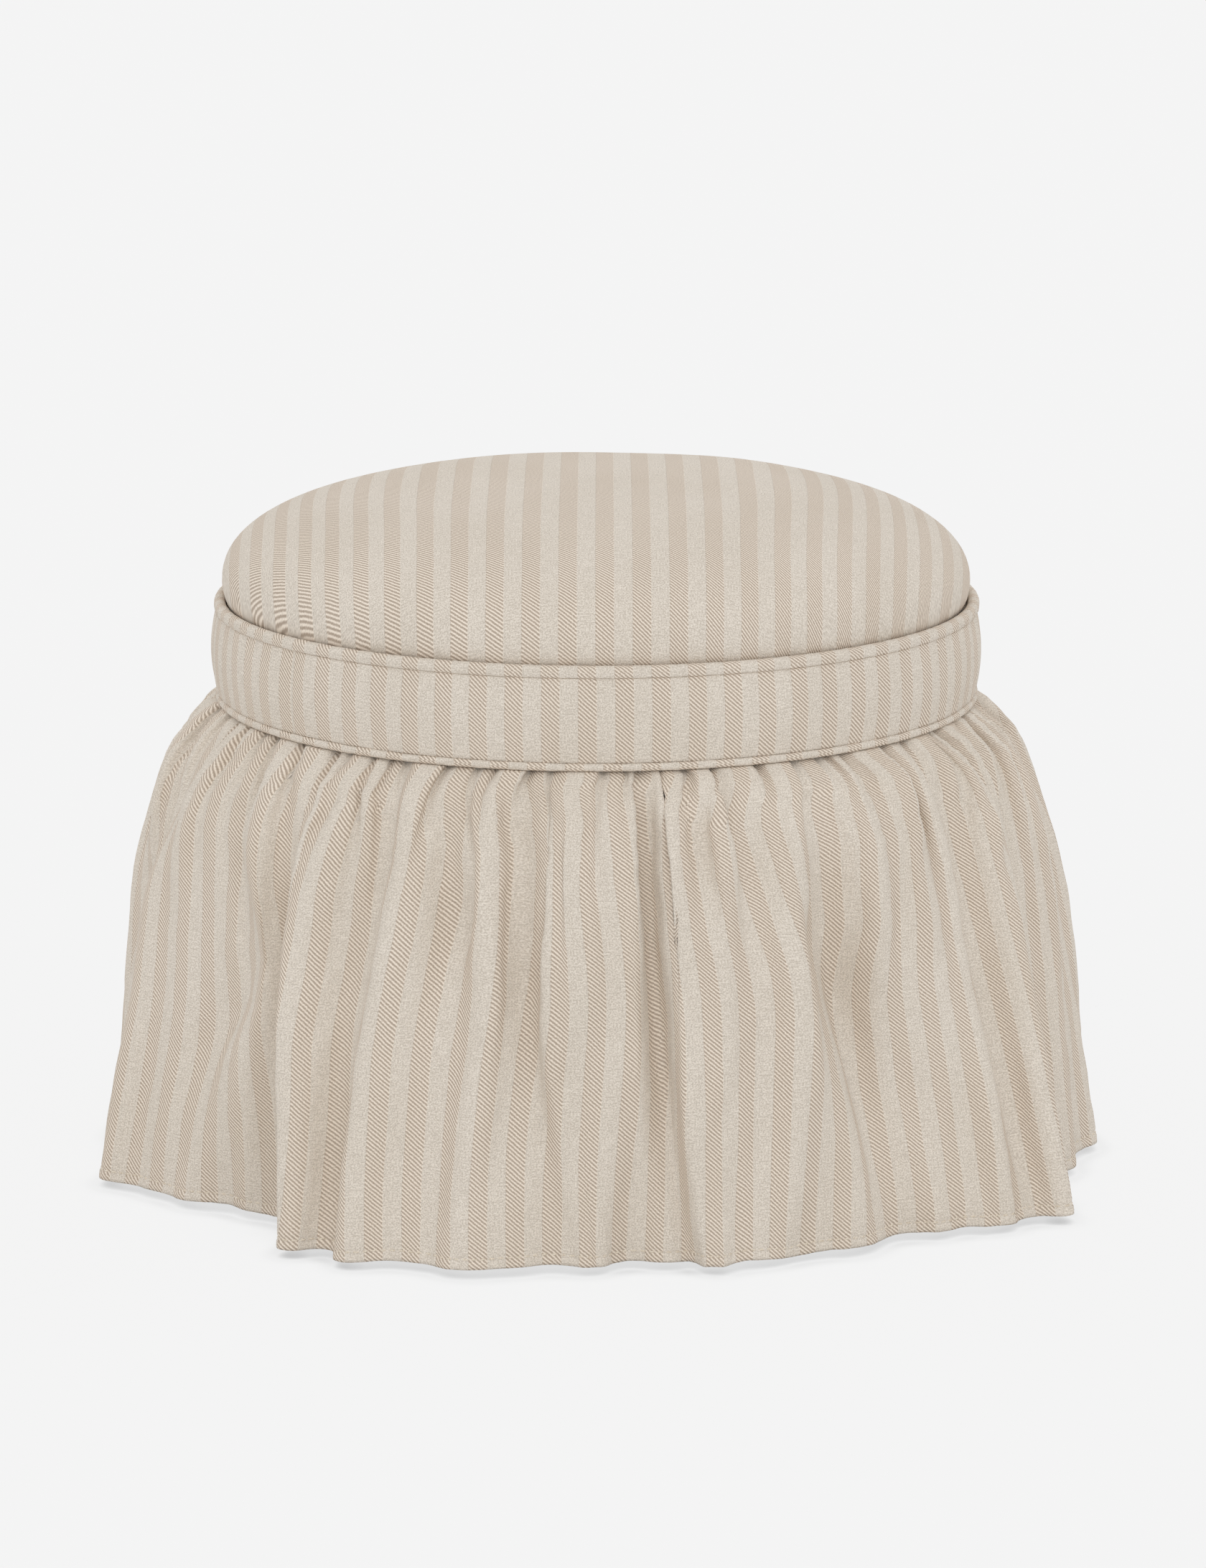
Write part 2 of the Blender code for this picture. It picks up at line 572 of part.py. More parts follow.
def main():
    clear_scene()
    finishes = {
        "stripe": material("striped cloth", (0.62, 0.54, 0.45), 0.9),
        "plywood": material("plywood", (0.62, 0.44, 0.26), 0.65),
        "hardboard": material("hardboard", (0.30, 0.19, 0.11), 0.7),
        "pine": material("pine", (0.72, 0.53, 0.31), 0.65),
        "lining": material("lining cloth", (0.60, 0.55, 0.48), 0.9),
        "cambric": material("black cambric", (0.02, 0.02, 0.02), 0.95),
        "wadding": material("polyester wadding", (0.85, 0.85, 0.83), 1.0),
        "foam": material("seat foam", (0.86, 0.80, 0.60), 0.95),
        "cotton": material("cotton cord", (0.82, 0.78, 0.70), 0.9),
        "card": material("tack strip card", (0.45, 0.34, 0.22), 0.9),
        "plastic": material("glide plastic", (0.03, 0.03, 0.03), 0.45),
        "steel": material("zinc plated steel", (0.62, 0.62, 0.60), 0.35, 1.0),
    }
    base = empty("ottoman_base")
    drum(finishes, base)
    band(finishes, base)
    skirt(finishes, base)
    lid(finishes, empty("lid_on_its_lift_axis", LID_Z))


main()
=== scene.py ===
import json
import math

import bpy
import numpy as np
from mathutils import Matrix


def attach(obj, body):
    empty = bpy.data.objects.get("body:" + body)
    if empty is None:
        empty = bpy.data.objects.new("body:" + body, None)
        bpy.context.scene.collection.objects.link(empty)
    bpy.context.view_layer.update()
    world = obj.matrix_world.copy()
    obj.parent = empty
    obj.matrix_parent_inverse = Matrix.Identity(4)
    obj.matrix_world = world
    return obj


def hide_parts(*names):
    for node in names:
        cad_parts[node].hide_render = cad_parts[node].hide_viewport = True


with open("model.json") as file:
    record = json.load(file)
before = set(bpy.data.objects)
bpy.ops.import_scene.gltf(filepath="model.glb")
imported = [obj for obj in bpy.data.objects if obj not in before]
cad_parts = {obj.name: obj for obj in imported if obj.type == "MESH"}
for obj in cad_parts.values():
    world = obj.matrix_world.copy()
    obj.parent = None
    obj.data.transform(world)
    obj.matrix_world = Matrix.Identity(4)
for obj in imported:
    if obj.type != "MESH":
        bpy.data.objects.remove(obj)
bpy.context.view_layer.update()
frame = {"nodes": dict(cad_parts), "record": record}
print("frame loaded:", len(frame["nodes"]), "nodes")

# What several pieces share: the stripe repeat, and the radius at which the band's repeat is true, in metres
cloth = {"period": 0.0234, "bandRadius": 0.2555}
fullTurn = 2 * np.pi


# Array helpers

# smooth step: 0 below low, 1 above high, 3t^2 - 2t^3 between
def ease(low, high, x):
    t = np.clip((np.asarray(x, float) - low) / (high - low), 0, 1)
    return t * t * (3 - 2 * t)


# azimuths evenly spaced once round; extra ones go on past the full round
def roundOf(count, extra=0, start=-np.pi):
    return np.arange(count + extra) / count * fullTurn + start


# share of a full turn
def turnShare(azimuth):
    return (azimuth / fullTurn) % 1


# ripples: a sum of cosines with whole turns round the piece, so that they close on themselves; made has
# their seed, size and count, and the ranges of their turns round the piece and of their turns per metre down
def ripples(made, around, down):
    seed, size, count, (fewest, most), downRange = made
    rng = np.random.default_rng(seed)
    turns = rng.integers(fewest, most + 1, count) * rng.choice([-1, 1], count)
    rates = rng.uniform(*downRange, count)
    phases = rng.uniform(0, fullTurn, count)
    total = np.zeros(np.broadcast(around, down).shape)
    for turn, rate, phase in zip(turns, rates, phases):
        total = total + np.cos(fullTurn * (turn * around + rate * down) + phase)
    return size * (total / math.sqrt(count))


# arrays brought to one shape and put side by side along a last axis
def together(*parts):
    return np.stack(np.broadcast_arrays(*parts), -1)


# vectors brought to length 1
def unit(vectors):
    return vectors / np.maximum(np.linalg.norm(vectors, axis=-1, keepdims=True), 1e-12)


# a point at radius, azimuth (from the front towards +X) and height
def onRound(radius, azimuth, height):
    return together(radius * np.sin(azimuth), -radius * np.cos(azimuth), height)


# length along a profile, from its first point
def alongProfile(profile):
    steps = np.linalg.norm(np.diff(profile, axis=0), axis=1)
    return np.concatenate([[0], np.cumsum(steps)])


# points of a profile at given lengths along it
def atLengths(profile, stops):
    length = alongProfile(profile)
    return np.stack([np.interp(stops, length, profile[:, k]) for k in range(2)], 1)


# a profile through corner points, with each straight cut into short steps
def fineProfile(corners, step):
    corners = np.asarray(corners, float)
    length = alongProfile(corners)
    stops = [
        np.linspace(a, b, max(2, int(math.ceil((b - a) / step)) + 1))[:-1]
        for a, b in zip(length[:-1], length[1:])
    ]
    return atLengths(corners, np.concatenate(stops + [length[-1:]]))


# quads of a grid of vertex numbers, with the matching corners of its UV grid
def gridFaces(index, uv, closeRows=False, closeColumns=False):
    rows, columns = index.shape
    firsts = np.arange(rows - 1 + closeRows), np.arange(columns - 1 + closeColumns)
    i, j = np.meshgrid(*firsts, indexing="ij")
    corners = [(i, j), (i + 1, j), (i + 1, j + 1), (i, j + 1)]
    faces = np.stack([index[a % rows, b % columns] for a, b in corners], -1).reshape(-1, 4)
    return faces, np.stack([uv[a, b] for a, b in corners], -2).reshape(-1, 4, 2)


# triangles from a pole to a closed row of vertices
def fanFaces(pole, row, poleUv, rowUv):
    after = np.roll(row, -1)
    faces = np.stack([np.full(len(row), pole), row, after], 1)
    return faces, np.stack([np.broadcast_to(poleUv, (len(row), 2)), rowUv[:-1], rowUv[1:]], 1)


# triangles between a fine closed row and one with half as many points
def joinRows(fine, coarse, uvFine, uvCoarse):
    f0, f1, f2 = fine[0::2], fine[1::2], np.roll(fine[0::2], -1)
    c0, c1 = coarse, np.roll(coarse, -1)
    u0, u1, u2 = uvFine[0:-1:2], uvFine[1::2], uvFine[2::2]
    w0, w1 = uvCoarse[:-1], uvCoarse[1:]
    faces = np.concatenate([np.stack(t, 1) for t in ((f0, c0, f1), (f1, c0, c1), (f1, c1, f2))])
    uv = np.concatenate([np.stack(t, 1) for t in ((u0, w0, u1), (u1, w0, w1), (u1, w1, u2))])
    return faces, uv


# the same faces seen from their other side
def turned(patch):
    return patch[0][:, ::-1], patch[1][:, ::-1]


def addObject(name, data):
    made = bpy.data.objects.new(name, data)
    bpy.context.scene.collection.objects.link(made)
    return made


# six times the volume inside the faces: its sign says which way they point
def signedVolume(points, patches):
    total = 0.0
    for faces, _ in patches:
        for k in range(1, faces.shape[1] - 1):
            a, b, c = points[faces[:, 0]], points[faces[:, k]], points[faces[:, k + 1]]
            total += np.einsum("ij,ij->i", a, np.cross(b, c)).sum()
    return total


# one mesh object from arrays of points, faces and face-corner UVs
def makePiece(name, points, patches, body, slot, stands=(), material=None):
    points = np.asarray(points, float).reshape(-1, 3)
    if signedVolume(points, patches) < 0:
        patches = [turned(patch) for patch in patches]
    corners = np.concatenate([faces.ravel() for faces, _ in patches])
    sizes = np.concatenate([np.full(len(faces), faces.shape[1]) for faces, _ in patches])
    starts = np.concatenate([[0], np.cumsum(sizes)[:-1]])
    uv = np.concatenate([uv.reshape(-1, 2) for _, uv in patches])
    mesh = bpy.data.meshes.new(name)
    mesh.vertices.add(len(points))
    mesh.vertices.foreach_set("co", points.astype(np.float32).ravel())
    mesh.loops.add(len(corners))
    mesh.loops.foreach_set("vertex_index", corners.astype(np.int32))
    mesh.polygons.add(len(sizes))
    mesh.polygons.foreach_set("loop_start", starts.astype(np.int32))
    mesh.polygons.foreach_set("use_smooth", np.ones(len(sizes), bool))
    mesh.update(calc_edges=True)
    layer = mesh.uv_layers.new(name="clothUv")
    layer.data.foreach_set("uv", uv.astype(np.float32).ravel())
    mesh.validate()
    mesh.materials.append(material or finishes[slot])
    piece = addObject(name, mesh)
    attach(piece, body)
    if stands:
        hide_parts(*stands)
    print("made", name, len(sizes), "faces")
    return piece


# body of revolution: a profile carried round the axis, with each point moved by a swell; a ring's profile
# closes on itself, and any other has both ends on the axis, each closed by a pole
def turnedPiece(name, profile, columns, uvOf, swell, body, slot, stands, start=-180, ring=False):
    azimuth = roundOf(columns, 1, np.radians(start))[None, :]
    loop = np.concatenate([profile, profile[:1]]) if ring else profile
    loop = np.column_stack([loop, alongProfile(loop)])
    rows = loop if ring else loop[1:-1]
    r, z, length = np.split(rows, 3, 1)
    uv = together(*uvOf(r, z, azimuth, length))
    r, z, length = np.split(rows[:-1] if ring else rows, 3, 1)
    moveR, moveZ = swell(r, z, azimuth[:, :-1], length)
    points = onRound(r + moveR, azimuth[:, :-1], z + moveZ)
    index = np.arange(points.shape[0] * columns).reshape(-1, columns)
    patches = [gridFaces(index, uv, ring, True)]
    points = points.reshape(-1, 3)
    if not ring:
        _, z, length = np.split(loop[[0, -1]], 3, 1)
        nearAxis = np.full((2, 1), 1e-9)
        endUv = together(*uvOf(nearAxis, z, azimuth[:, :1], length))[:, 0]
        patches.append(fanFaces(index.size, index[0], endUv[0], uv[0]))
        patches.append(turned(fanFaces(index.size + 1, index[-1], endUv[1], uv[-1])))
        points = np.concatenate([points, onRound(0.0, 0.0, z[:, 0])])
    return makePiece(name, points, patches, body, slot, stands)


# Shader helpers

# gives an input a value, or a link from another node
def feed(socket, value):
    if isinstance(value, bpy.types.NodeSocket):
        socket.id_data.links.new(value, socket)
    else:
        socket.default_value = value


# a node with its settings, fed by the numbers or names of its inputs
def addNode(tree, kind, given=None, **settings):
    node = tree.nodes.new(kind)
    for key, value in settings.items():
        setattr(node, key, value)
    for label, value in (given or {}).items():
        feed(node.inputs[label], value)
    return node


# output of a node that stands in the same tree as the links that feed it
def nodeFrom(kind, given, out=0, **settings):
    links = [value for value in given.values() if isinstance(value, bpy.types.NodeSocket)]
    return addNode(links[0].id_data, kind, given, **settings).outputs[out]


def mathNode(operation, *values):
    return nodeFrom("ShaderNodeMath", dict(enumerate(values)), operation=operation)


def minus(first, second):
    return mathNode("SUBTRACT", first, second)


def times(first, second):
    return mathNode("MULTIPLY", first, second)


# first times second, plus third
def timesPlus(first, second, third):
    return mathNode("MULTIPLY_ADD", first, second, third)


def mixColour(factor, first, second, blend="MIX"):
    given = {0: factor, 6: first, 7: second}
    return nodeFrom("ShaderNodeMix", given, 2, data_type="RGBA", blend_type=blend)


def mixShader(factor, first, second):
    return nodeFrom("ShaderNodeMixShader", {0: factor, 1: first.outputs[0], 2: second.outputs[0]})


def rangeNode(value, low, high, toLow=0.0, toHigh=1.0):
    given = dict(enumerate((value, low, high, toLow, toHigh)))
    return nodeFrom("ShaderNodeMapRange", given, interpolation_type="SMOOTHSTEP")


def axisOf(vector, axis):
    return nodeFrom("ShaderNodeSeparateXYZ", {0: vector}, axis)


# noise on coordinates stretched by a factor for each axis
def stretchedNoise(vector, stretch, detail=1.0, rough=0.5):
    scaled = nodeFrom("ShaderNodeVectorMath", {0: vector, 1: stretch}, operation="MULTIPLY")
    given = {"Vector": scaled, "Scale": 1.0, "Detail": detail, "Roughness": rough}
    return nodeFrom("ShaderNodeTexNoise", given)


# an empty group that takes a place, colours and numbers, and puts out a colour and a height
def newGroup(name, place, colours, numbers):
    tree = bpy.data.node_groups.new(name, "ShaderNodeTree")
    tree.interface.new_socket(place, in_out="INPUT", socket_type="NodeSocketVector")
    for label in colours:
        tree.interface.new_socket(label, in_out="INPUT", socket_type="NodeSocketColor")
    for label, value in numbers.items():
        socket = tree.interface.new_socket(label, in_out="INPUT", socket_type="NodeSocketFloat")
        socket.default_value = value
    tree.interface.new_socket("Colour", in_out="OUTPUT", socket_type="NodeSocketColor")
    tree.interface.new_socket("Height", in_out="OUTPUT", socket_type="NodeSocketFloat")
    return tree, tree.nodes.new("NodeGroupInput").outputs, tree.nodes.new("NodeGroupOutput").inputs


def placeGroup(tree, group, values):
    return addNode(tree, "ShaderNodeGroup", values, node_tree=group).outputs


def uvSource(tree):
    return addNode(tree, "ShaderNodeUVMap", uv_map="clothUv").outputs[0]


def objectSource(tree):
    return addNode(tree, "ShaderNodeTexCoord").outputs["Object"]


# Weave and grain; the three numbers of a noise are its stretch for each axis, per metre
weave = {
    "grain": (1000, 1000, 1), "grainRough": 0.6, "plainSpread": (0.28, 0.72),
    "weft": (110, 900, 1), "warp": (900, 110, 1), "weftShare": 0.6, "warpShare": 0.4, "slubs": 0.45,
    "wander": (130, 130, 1), "wanderTurns": 0.3,
    "threadShare": 2.4, "twillSpread": (-1.2, 1.3), "edgeStep": 0.030, "edgeThread": 0.02,
    "twillMiddle": 0.25, "twillEdge": (0.244, 0.256), "plainRise": 0.55,
    "tone": (14, 9, 1), "toneSpread": (0.3, 0.7), "toneShade": (0.965, 0.96, 0.95, 1),
}
wood = {
    "bands": (6, 55, 90), "fibre": (40, 900, 900), "rough": 0.6, "fibreShare": 0.6, "spread": (0.32, 0.68),
    "bump": 0.0002,
}


# plain weave: fine thread grain, with slubs along both threads
def plainWeaveGroup():
    tree, given, out = newGroup("plainWeave", "Cloth", ["Light Thread", "Dark Thread"], {"Slubs": 0.5})
    grain = stretchedNoise(given["Cloth"], weave["grain"], 1.0, weave["grainRough"])
    weft = stretchedNoise(given["Cloth"], weave["weft"])
    warp = stretchedNoise(given["Cloth"], weave["warp"])
    slubs = timesPlus(weft, weave["weftShare"], times(warp, weave["warpShare"]))
    mixed = timesPlus(minus(slubs, 0.5), given["Slubs"], grain)
    share = rangeNode(mixed, *weave["plainSpread"])
    feed(out["Colour"], mixColour(share, given["Dark Thread"], given["Light Thread"]))
    feed(out["Height"], share)
    return tree


# striped weave: across the cloth, half of each repeat is twill with slanting lines and half is plain weave
def stripedWeaveGroup(plainWeave):
    colours = ["Plain Light", "Plain Dark", "Twill Light", "Twill Dark"]
    numbers = {"Repeat": cloth["period"], "Twill Pitch": 0.0027, "Twill Slope": 0.9}
    tree, given, out = newGroup("stripedWeave", "Cloth", colours, numbers)
    across, along = axisOf(given["Cloth"], 0), axisOf(given["Cloth"], 1)
    slant = minus(along, times(across, given["Twill Slope"]))
    wander = stretchedNoise(given["Cloth"], weave["wander"])
    lines = mathNode("DIVIDE", slant, given["Twill Pitch"])
    turns = timesPlus(wander, weave["wanderTurns"], lines)
    wave = mathNode("SINE", times(turns, fullTurn))
    thread = minus(stretchedNoise(given["Cloth"], weave["grain"]), 0.5)
    ridge = rangeNode(timesPlus(thread, weave["threadShare"], wave), *weave["twillSpread"])
    # the stripe's edges step with the twill lines
    steps = times(minus(mathNode("FRACT", turns), 0.5), weave["edgeStep"])
    steps = timesPlus(thread, weave["edgeThread"], steps)
    repeats = mathNode("DIVIDE", across, given["Repeat"])
    place = mathNode("FRACT", mathNode("ADD", repeats, steps))
    offMiddle = mathNode("ABSOLUTE", minus(place, weave["twillMiddle"]))
    inTwill = rangeNode(offMiddle, *weave["twillEdge"], 1.0, 0.0)
    twillColour = mixColour(ridge, given["Twill Dark"], given["Twill Light"])
    plain = placeGroup(tree, plainWeave, {
        "Cloth": given["Cloth"], "Light Thread": given["Plain Light"], "Dark Thread": given["Plain Dark"],
        "Slubs": weave["slubs"],
    })
    both = mixColour(inTwill, plain["Colour"], twillColour)
    tone = rangeNode(stretchedNoise(given["Cloth"], weave["tone"], 2.0), *weave["toneSpread"])
    shaded = mixColour(1.0, both, weave["toneShade"], "MULTIPLY")
    feed(out["Colour"], mixColour(tone, shaded, both))
    plainHeight = times(plain["Height"], weave["plainRise"])
    feed(out["Height"], timesPlus(inTwill, minus(ridge, plainHeight), plainHeight))
    return tree


# wood grain: stretched noise in bands and finer fibres, for board faces and edges alike
def woodGrainGroup():
    tree, given, out = newGroup("woodGrain", "Place", ["Early Wood", "Late Wood"], {"Fibre": 1.0})
    bands = stretchedNoise(given["Place"], wood["bands"], 3.0, wood["rough"])
    fibre = stretchedNoise(given["Place"], wood["fibre"], 2.0, wood["rough"])
    fibreShare = times(given["Fibre"], wood["fibreShare"])
    share = rangeNode(timesPlus(minus(fibre, 0.5), fibreShare, bands), *wood["spread"])
    feed(out["Colour"], mixColour(share, given["Early Wood"], given["Late Wood"]))
    feed(out["Height"], fibre)
    return tree


plainWeave = plainWeaveGroup()
stripedWeave = stripedWeaveGroup(plainWeave)
woodGrain = woodGrainGroup()


# Materials

# linear colour from the 0 to 255 values a paint program shows
def colour(red, green, blue):
    parts = [c / 255 for c in (red, green, blue)]
    return tuple(c / 12.92 if c <= 0.04045 else ((c + 0.055) / 1.055) ** 2.4 for c in parts) + (1.0,)


def grey(value):
    return (value, value, value, 1)


def newMaterial(name, look):
    material = bpy.data.materials.new(name)
    material.use_nodes = True
    shader = material.node_tree.nodes["Principled BSDF"]
    for label, value in look.items():
        shader.inputs[label].default_value = value
    return material, material.node_tree, shader


def bumpInto(shader, height, distance):
    given = {"Strength": 1.0, "Distance": distance, "Height": height}
    feed(shader.inputs["Normal"], nodeFrom("ShaderNodeBump", given))


# a finish whose colour and bump come from a group, laid by the UV map or, for wood, by place in the object
def groupMaterial(name, group, values, bump, look):
    material, tree, shader = newMaterial(name, look)
    source = {"Place": objectSource(tree)} if group == woodGrain else {"Cloth": uvSource(tree)}
    out = placeGroup(tree, group, {**source, **values})
    feed(shader.inputs["Base Color"], out["Colour"])
    bumpInto(shader, out["Height"], bump)
    return material


wovenLook = {"Specular IOR Level": 0.15, "Sheen Weight": 0.04}


def wovenMaterial(name, light, dark, slubs, roughness, bump):
    values = {"Light Thread": colour(*light), "Dark Thread": colour(*dark), "Slubs": slubs}
    return groupMaterial(name, plainWeave, values, bump, {**wovenLook, "Roughness": roughness})


def woodMaterial(name, early, late, fibre, roughness):
    values = {"Early Wood": colour(*early), "Late Wood": colour(*late), "Fibre": fibre}
    look = {"Specular IOR Level": 0.25, "Roughness": roughness}
    return groupMaterial(name, woodGrain, values, wood["bump"], look)


speckle = {"spread": (0.3, 0.7), "roughSpread": (0.25, 0.75), "detail": 3.0, "rough": 0.6, "bump": 0.0001}


# a plain finish whose colour and roughness vary with fine noise
def speckledMaterial(name, first, second, grain, roughness, metallic=0.0):
    look = {"Specular IOR Level": 0.4, "Metallic": metallic}
    material, tree, shader = newMaterial(name, look)
    speck = stretchedNoise(objectSource(tree), grain, speckle["detail"], speckle["rough"])
    share = rangeNode(speck, *speckle["spread"])
    feed(shader.inputs["Base Color"], mixColour(share, colour(*first), colour(*second)))
    feed(shader.inputs["Roughness"], rangeNode(speck, *speckle["roughSpread"], *roughness))
    bumpInto(shader, speck, speckle["bump"])
    return material


stripes = {
    "Plain Light": colour(240, 231, 219), "Plain Dark": colour(205, 195, 182),
    "Twill Light": colour(250, 238, 223), "Twill Dark": colour(181, 165, 149),
}
stripedLook = {**wovenLook, "Roughness": 0.9, "Sheen Roughness": 0.6}
finishes = {
    "striped_cloth": groupMaterial("stripedCloth", stripedWeave, stripes, 0.00024, stripedLook),
    "lining_cloth": wovenMaterial(
        "liningCloth", (228, 220, 206), (204, 194, 178), 0.7, 0.9, 0.0002),
    "black_cambric": wovenMaterial("blackCambric", (40, 39, 38), (20, 20, 20), 0.8, 0.95, 0.0002),
    "plywood": woodMaterial("plywood", (216, 186, 144), (184, 146, 102), 1.0, 0.75),
    "pine": woodMaterial("pine", (228, 197, 148), (198, 156, 102), 0.8, 0.7),
    "hardboard": woodMaterial("hardboard", (128, 96, 70), (96, 70, 50), 1.6, 0.8),
    "zinc_steel": speckledMaterial(
        "zincSteel", (196, 198, 200), (168, 170, 172), (300, 300, 300), (0.28, 0.5), 1.0),
    "glide_plastic": speckledMaterial(
        "glidePlastic", (34, 34, 34), (46, 46, 45), (900, 900, 900), (0.45, 0.65)),
    "tack_strip_card": speckledMaterial(
        "tackCard", (178, 152, 120), (156, 128, 98), (120, 120, 500), (0.8, 0.95)),
}
hemThread = wovenMaterial("hemThread", (240, 231, 216), (214, 200, 180), 0.4, 0.8, 0.0001)
print("materials made")

for part in frame["record"]["subparts"]:
    finish = finishes.get(part["material_slot"])
    if finish:
        node = frame["nodes"][part["node"]]
        node.data.materials.clear()
        node.data.materials.append(finish)


# Skirt, in metres unless a note says otherwise

skirt = {
    "repeats": 97,  # stripe repeats in the cloth's width before gathering
    "flatHeight": 0.335, "thickness": 0.0012, "hemThickness": 0.0024, "hemEdge": 0.0016,
    "outZ": 0.3103, "hemZ": 0.006, "headingZ": (0.3266, 0.3190, 0.3112), "heading": 0.2427,
    "facets": 40, "headingGap": 0.002, "crest": 0.2525, "puff": 0.0356, "puffDrop": 0.027, "slope": 0.134,
    # rows crowd towards the top, and the last ones are at set heights above the hem: stitches at the second
    "columns": 1420, "rows": 48, "rowPower": 1.5, "hemClear": 0.0095,
    "hemRows": (0.0088, 0.0065, 0.0042, 0.0018, 0.0), "seed": 11,
    "gathers": [
        {"cells": 82, "uneven": (0.4, 1.7), "reach": (0.024, 0.070), "onset": 0.0001, "weight": 1.0,
         "crest": 0.60, "wall": (0.45, 0.85), "slant": 0.35},
        {"cells": 66, "uneven": (0.45, 1.7), "reach": (0.030, 0.120), "onset": 0.024, "weight": 0.6,
         "crest": 0.56, "wall": (0.25, 0.90), "slant": 0.0},
    ],
    "steep": (0.7, 1.3), "reachPower": 1.8, "fadePower": 1.25, "slantMean": 0.4, "slantDrop": 0.03,
    "slants": (9, 1.0, 6, (2, 9), (0, 0)),
    "sway": (8, 0.008, 10, (6, 30), (1.0, 6.0)), "swayOnset": (0.0, 0.06),
    "middleFolds": (5, 1.0, 26, (30, 62), (-2.4, 2.4)), "middle": 0.16,
    "middleOnset": (0.0, 0.05), "middleFade": (0.06, 0.24), "middleLoss": 0.5,
    "takeUp": 0.985, "flattest": 0.997, "maxTilt": 1.6, "maxScale": 8.0, "halvings": 40,
    "ridgeTurns": 14, "shiftTurns": 30, "crestShare": 0.8, "sink": 0.45, "sinkDrop": (0.10, 0.0),
    "crumple": (21, 0.00035, 30, (20, 120), (-30, 30)), "crumpleOnset": (0.0, 0.03),
    "pucker": (22, 0.00022, 14, (120, 210), (-3, 3)), "puckerRise": (0.024, 0.004),
    "hemWave": (23, 0.0007, 12, (5, 40), (0, 0)), "hemWaveRise": 0.06, "hemFoldRise": (0.0085, 0.0055),
    # size, height above the hem and width of the hem's roll; size and width of the groove at the stitches
    "roll": (0.00045, 0.0032, 0.0022), "groove": (0.0008, 0.0013),
    "foldDrops": (0.0, 0.040, 0.120),  # and the hem
    "foldGain": 1.15, "topShare": 0.15, "finer": 4, "leastGap": 1e-4, "lengthSteps": 400, "driftTurns": 2,
    # fold lines over the front half, from its left to its right; the half behind repeats all but the two at
    # the sides. Each has its azimuth in degrees (0 at the front, + to the right) and its stand-out in mm,
    # at 40 mm and at 120 mm below the band and at the hem
    "folds": [
        ((-88, -90, -92), (2, 5, 1)), ((-75, -81, -82), (-4, -5, -8)), ((-63, -72, -71.5), (4, 7, 12)),
        ((-56, -53, -60), (-6, -13, -11)), ((-48, -46, -52), (5, 3, -28)),
        ((-43.5, -42.5, -42), (-9, -20, -40)), ((-38.5, -39.5, -36), (7, 10, 6)),
        ((-28, -31.5, -32), (-7, -10, 0)), ((-23.5, -25.5, -29), (4, 7, 7)), ((-20, -17, -20), (-8, -5, -2)),
        ((-15, -12.5, -16), (4, 3, 3)), ((-10, -9, -4.5), (-8, -10, -12)), ((-6.5, -6, -2), (3, 3, -13)),
        ((-4, -3.5, 0), (-5, 0, -17)), ((0, 0, 2.5), (4, 4, -20)), ((4.5, 4.5, 6), (2, 2, -21)),
        ((7.2, 7.3, 11), (-12, -15, -22)), ((9, 9.2, 12.5), (5, 6, -8)), ((12.5, 12.5, 14.5), (-4, 0, -3)),
        ((16, 16, 18), (5, 4, -9)), ((21, 20, 22), (-7, 0, -14)), ((25.5, 25, 32), (4, 8, -9)),
        ((31.5, 31.5, 38), (-8, -12, -16)), ((37, 36.5, 45), (4, 3, 1)), ((42.5, 42, 49), (-6, -4, 8)),
        ((48, 48, 52), (5, 4, 15)), ((54, 53, 54.5), (-6, -4, 20)), ((60, 59, 57.5), (8, 14, 28)),
        ((68, 67, 69), (-8, -14, -8)), ((76, 77, 75), (4, 6, 0)), ((83, 84, 81), (-4, -2, -3)),
        ((90, 90, 88), (-2, 8, 9)),
    ],
    # creases that run aslant between the fold lines: azimuth in degrees, drop and depth in mm along each one
    "creases": [
        {"azimuth": (33, 30, 34, 38.5, 43.5), "drop": (40, 100, 150, 210, 290),
         "depth": (0, 12, 22, 20, 4), "width": 5.0},
        {"azimuth": (-54, -49, -48, -51, -57, -62), "drop": (62, 100, 132, 165, 200, 250),
         "depth": (0, 7, 11, 11, 7, 0), "width": 4.5},
    ],
}


# a smooth curve down the cloth through values at a few drops: cubic pieces that meet with the same slope
def throughDrops(drop, knots, values):
    knots, values = np.asarray(knots, float), np.asarray(values, float)
    slopes = np.gradient(values, knots, axis=0)
    k = np.clip(np.searchsorted(knots, drop, side="right") - 1, 0, len(knots) - 2)
    span = (knots[k + 1] - knots[k])[:, None]
    t = (drop[:, None] - knots[k][:, None]) / span
    start = (2 * t ** 3 - 3 * t ** 2 + 1) * values[k] + (t ** 3 - 2 * t ** 2 + t) * span * slopes[k]
    return start + (3 * t ** 2 - 2 * t ** 3) * values[k + 1] + (t ** 3 - t ** 2) * span * slopes[k + 1]


# corner radius to facet radius, for cloth that lies on the drum's flats
def onFacets(radius, azimuth):
    facet = fullTurn / skirt["facets"]
    offMiddle = np.mod(azimuth, facet) - facet / 2
    return radius * np.cos(facet / 2) / np.cos(offMiddle)


# flare: how far out the cloth hangs at each drop, a quick puff under the band and then a steady slope
def flareAt(drop):
    return skirt["crest"] + skirt["puff"] * (1 - np.exp(-drop / skirt["puffDrop"])) + skirt["slope"] * drop


# length down the cloth at each drop
def clothLength(drop, fall):
    fine = np.linspace(0, fall, skirt["lengthSteps"])
    return np.interp(drop, fine, alongProfile(np.stack([flareAt(fine), fine], 1)))


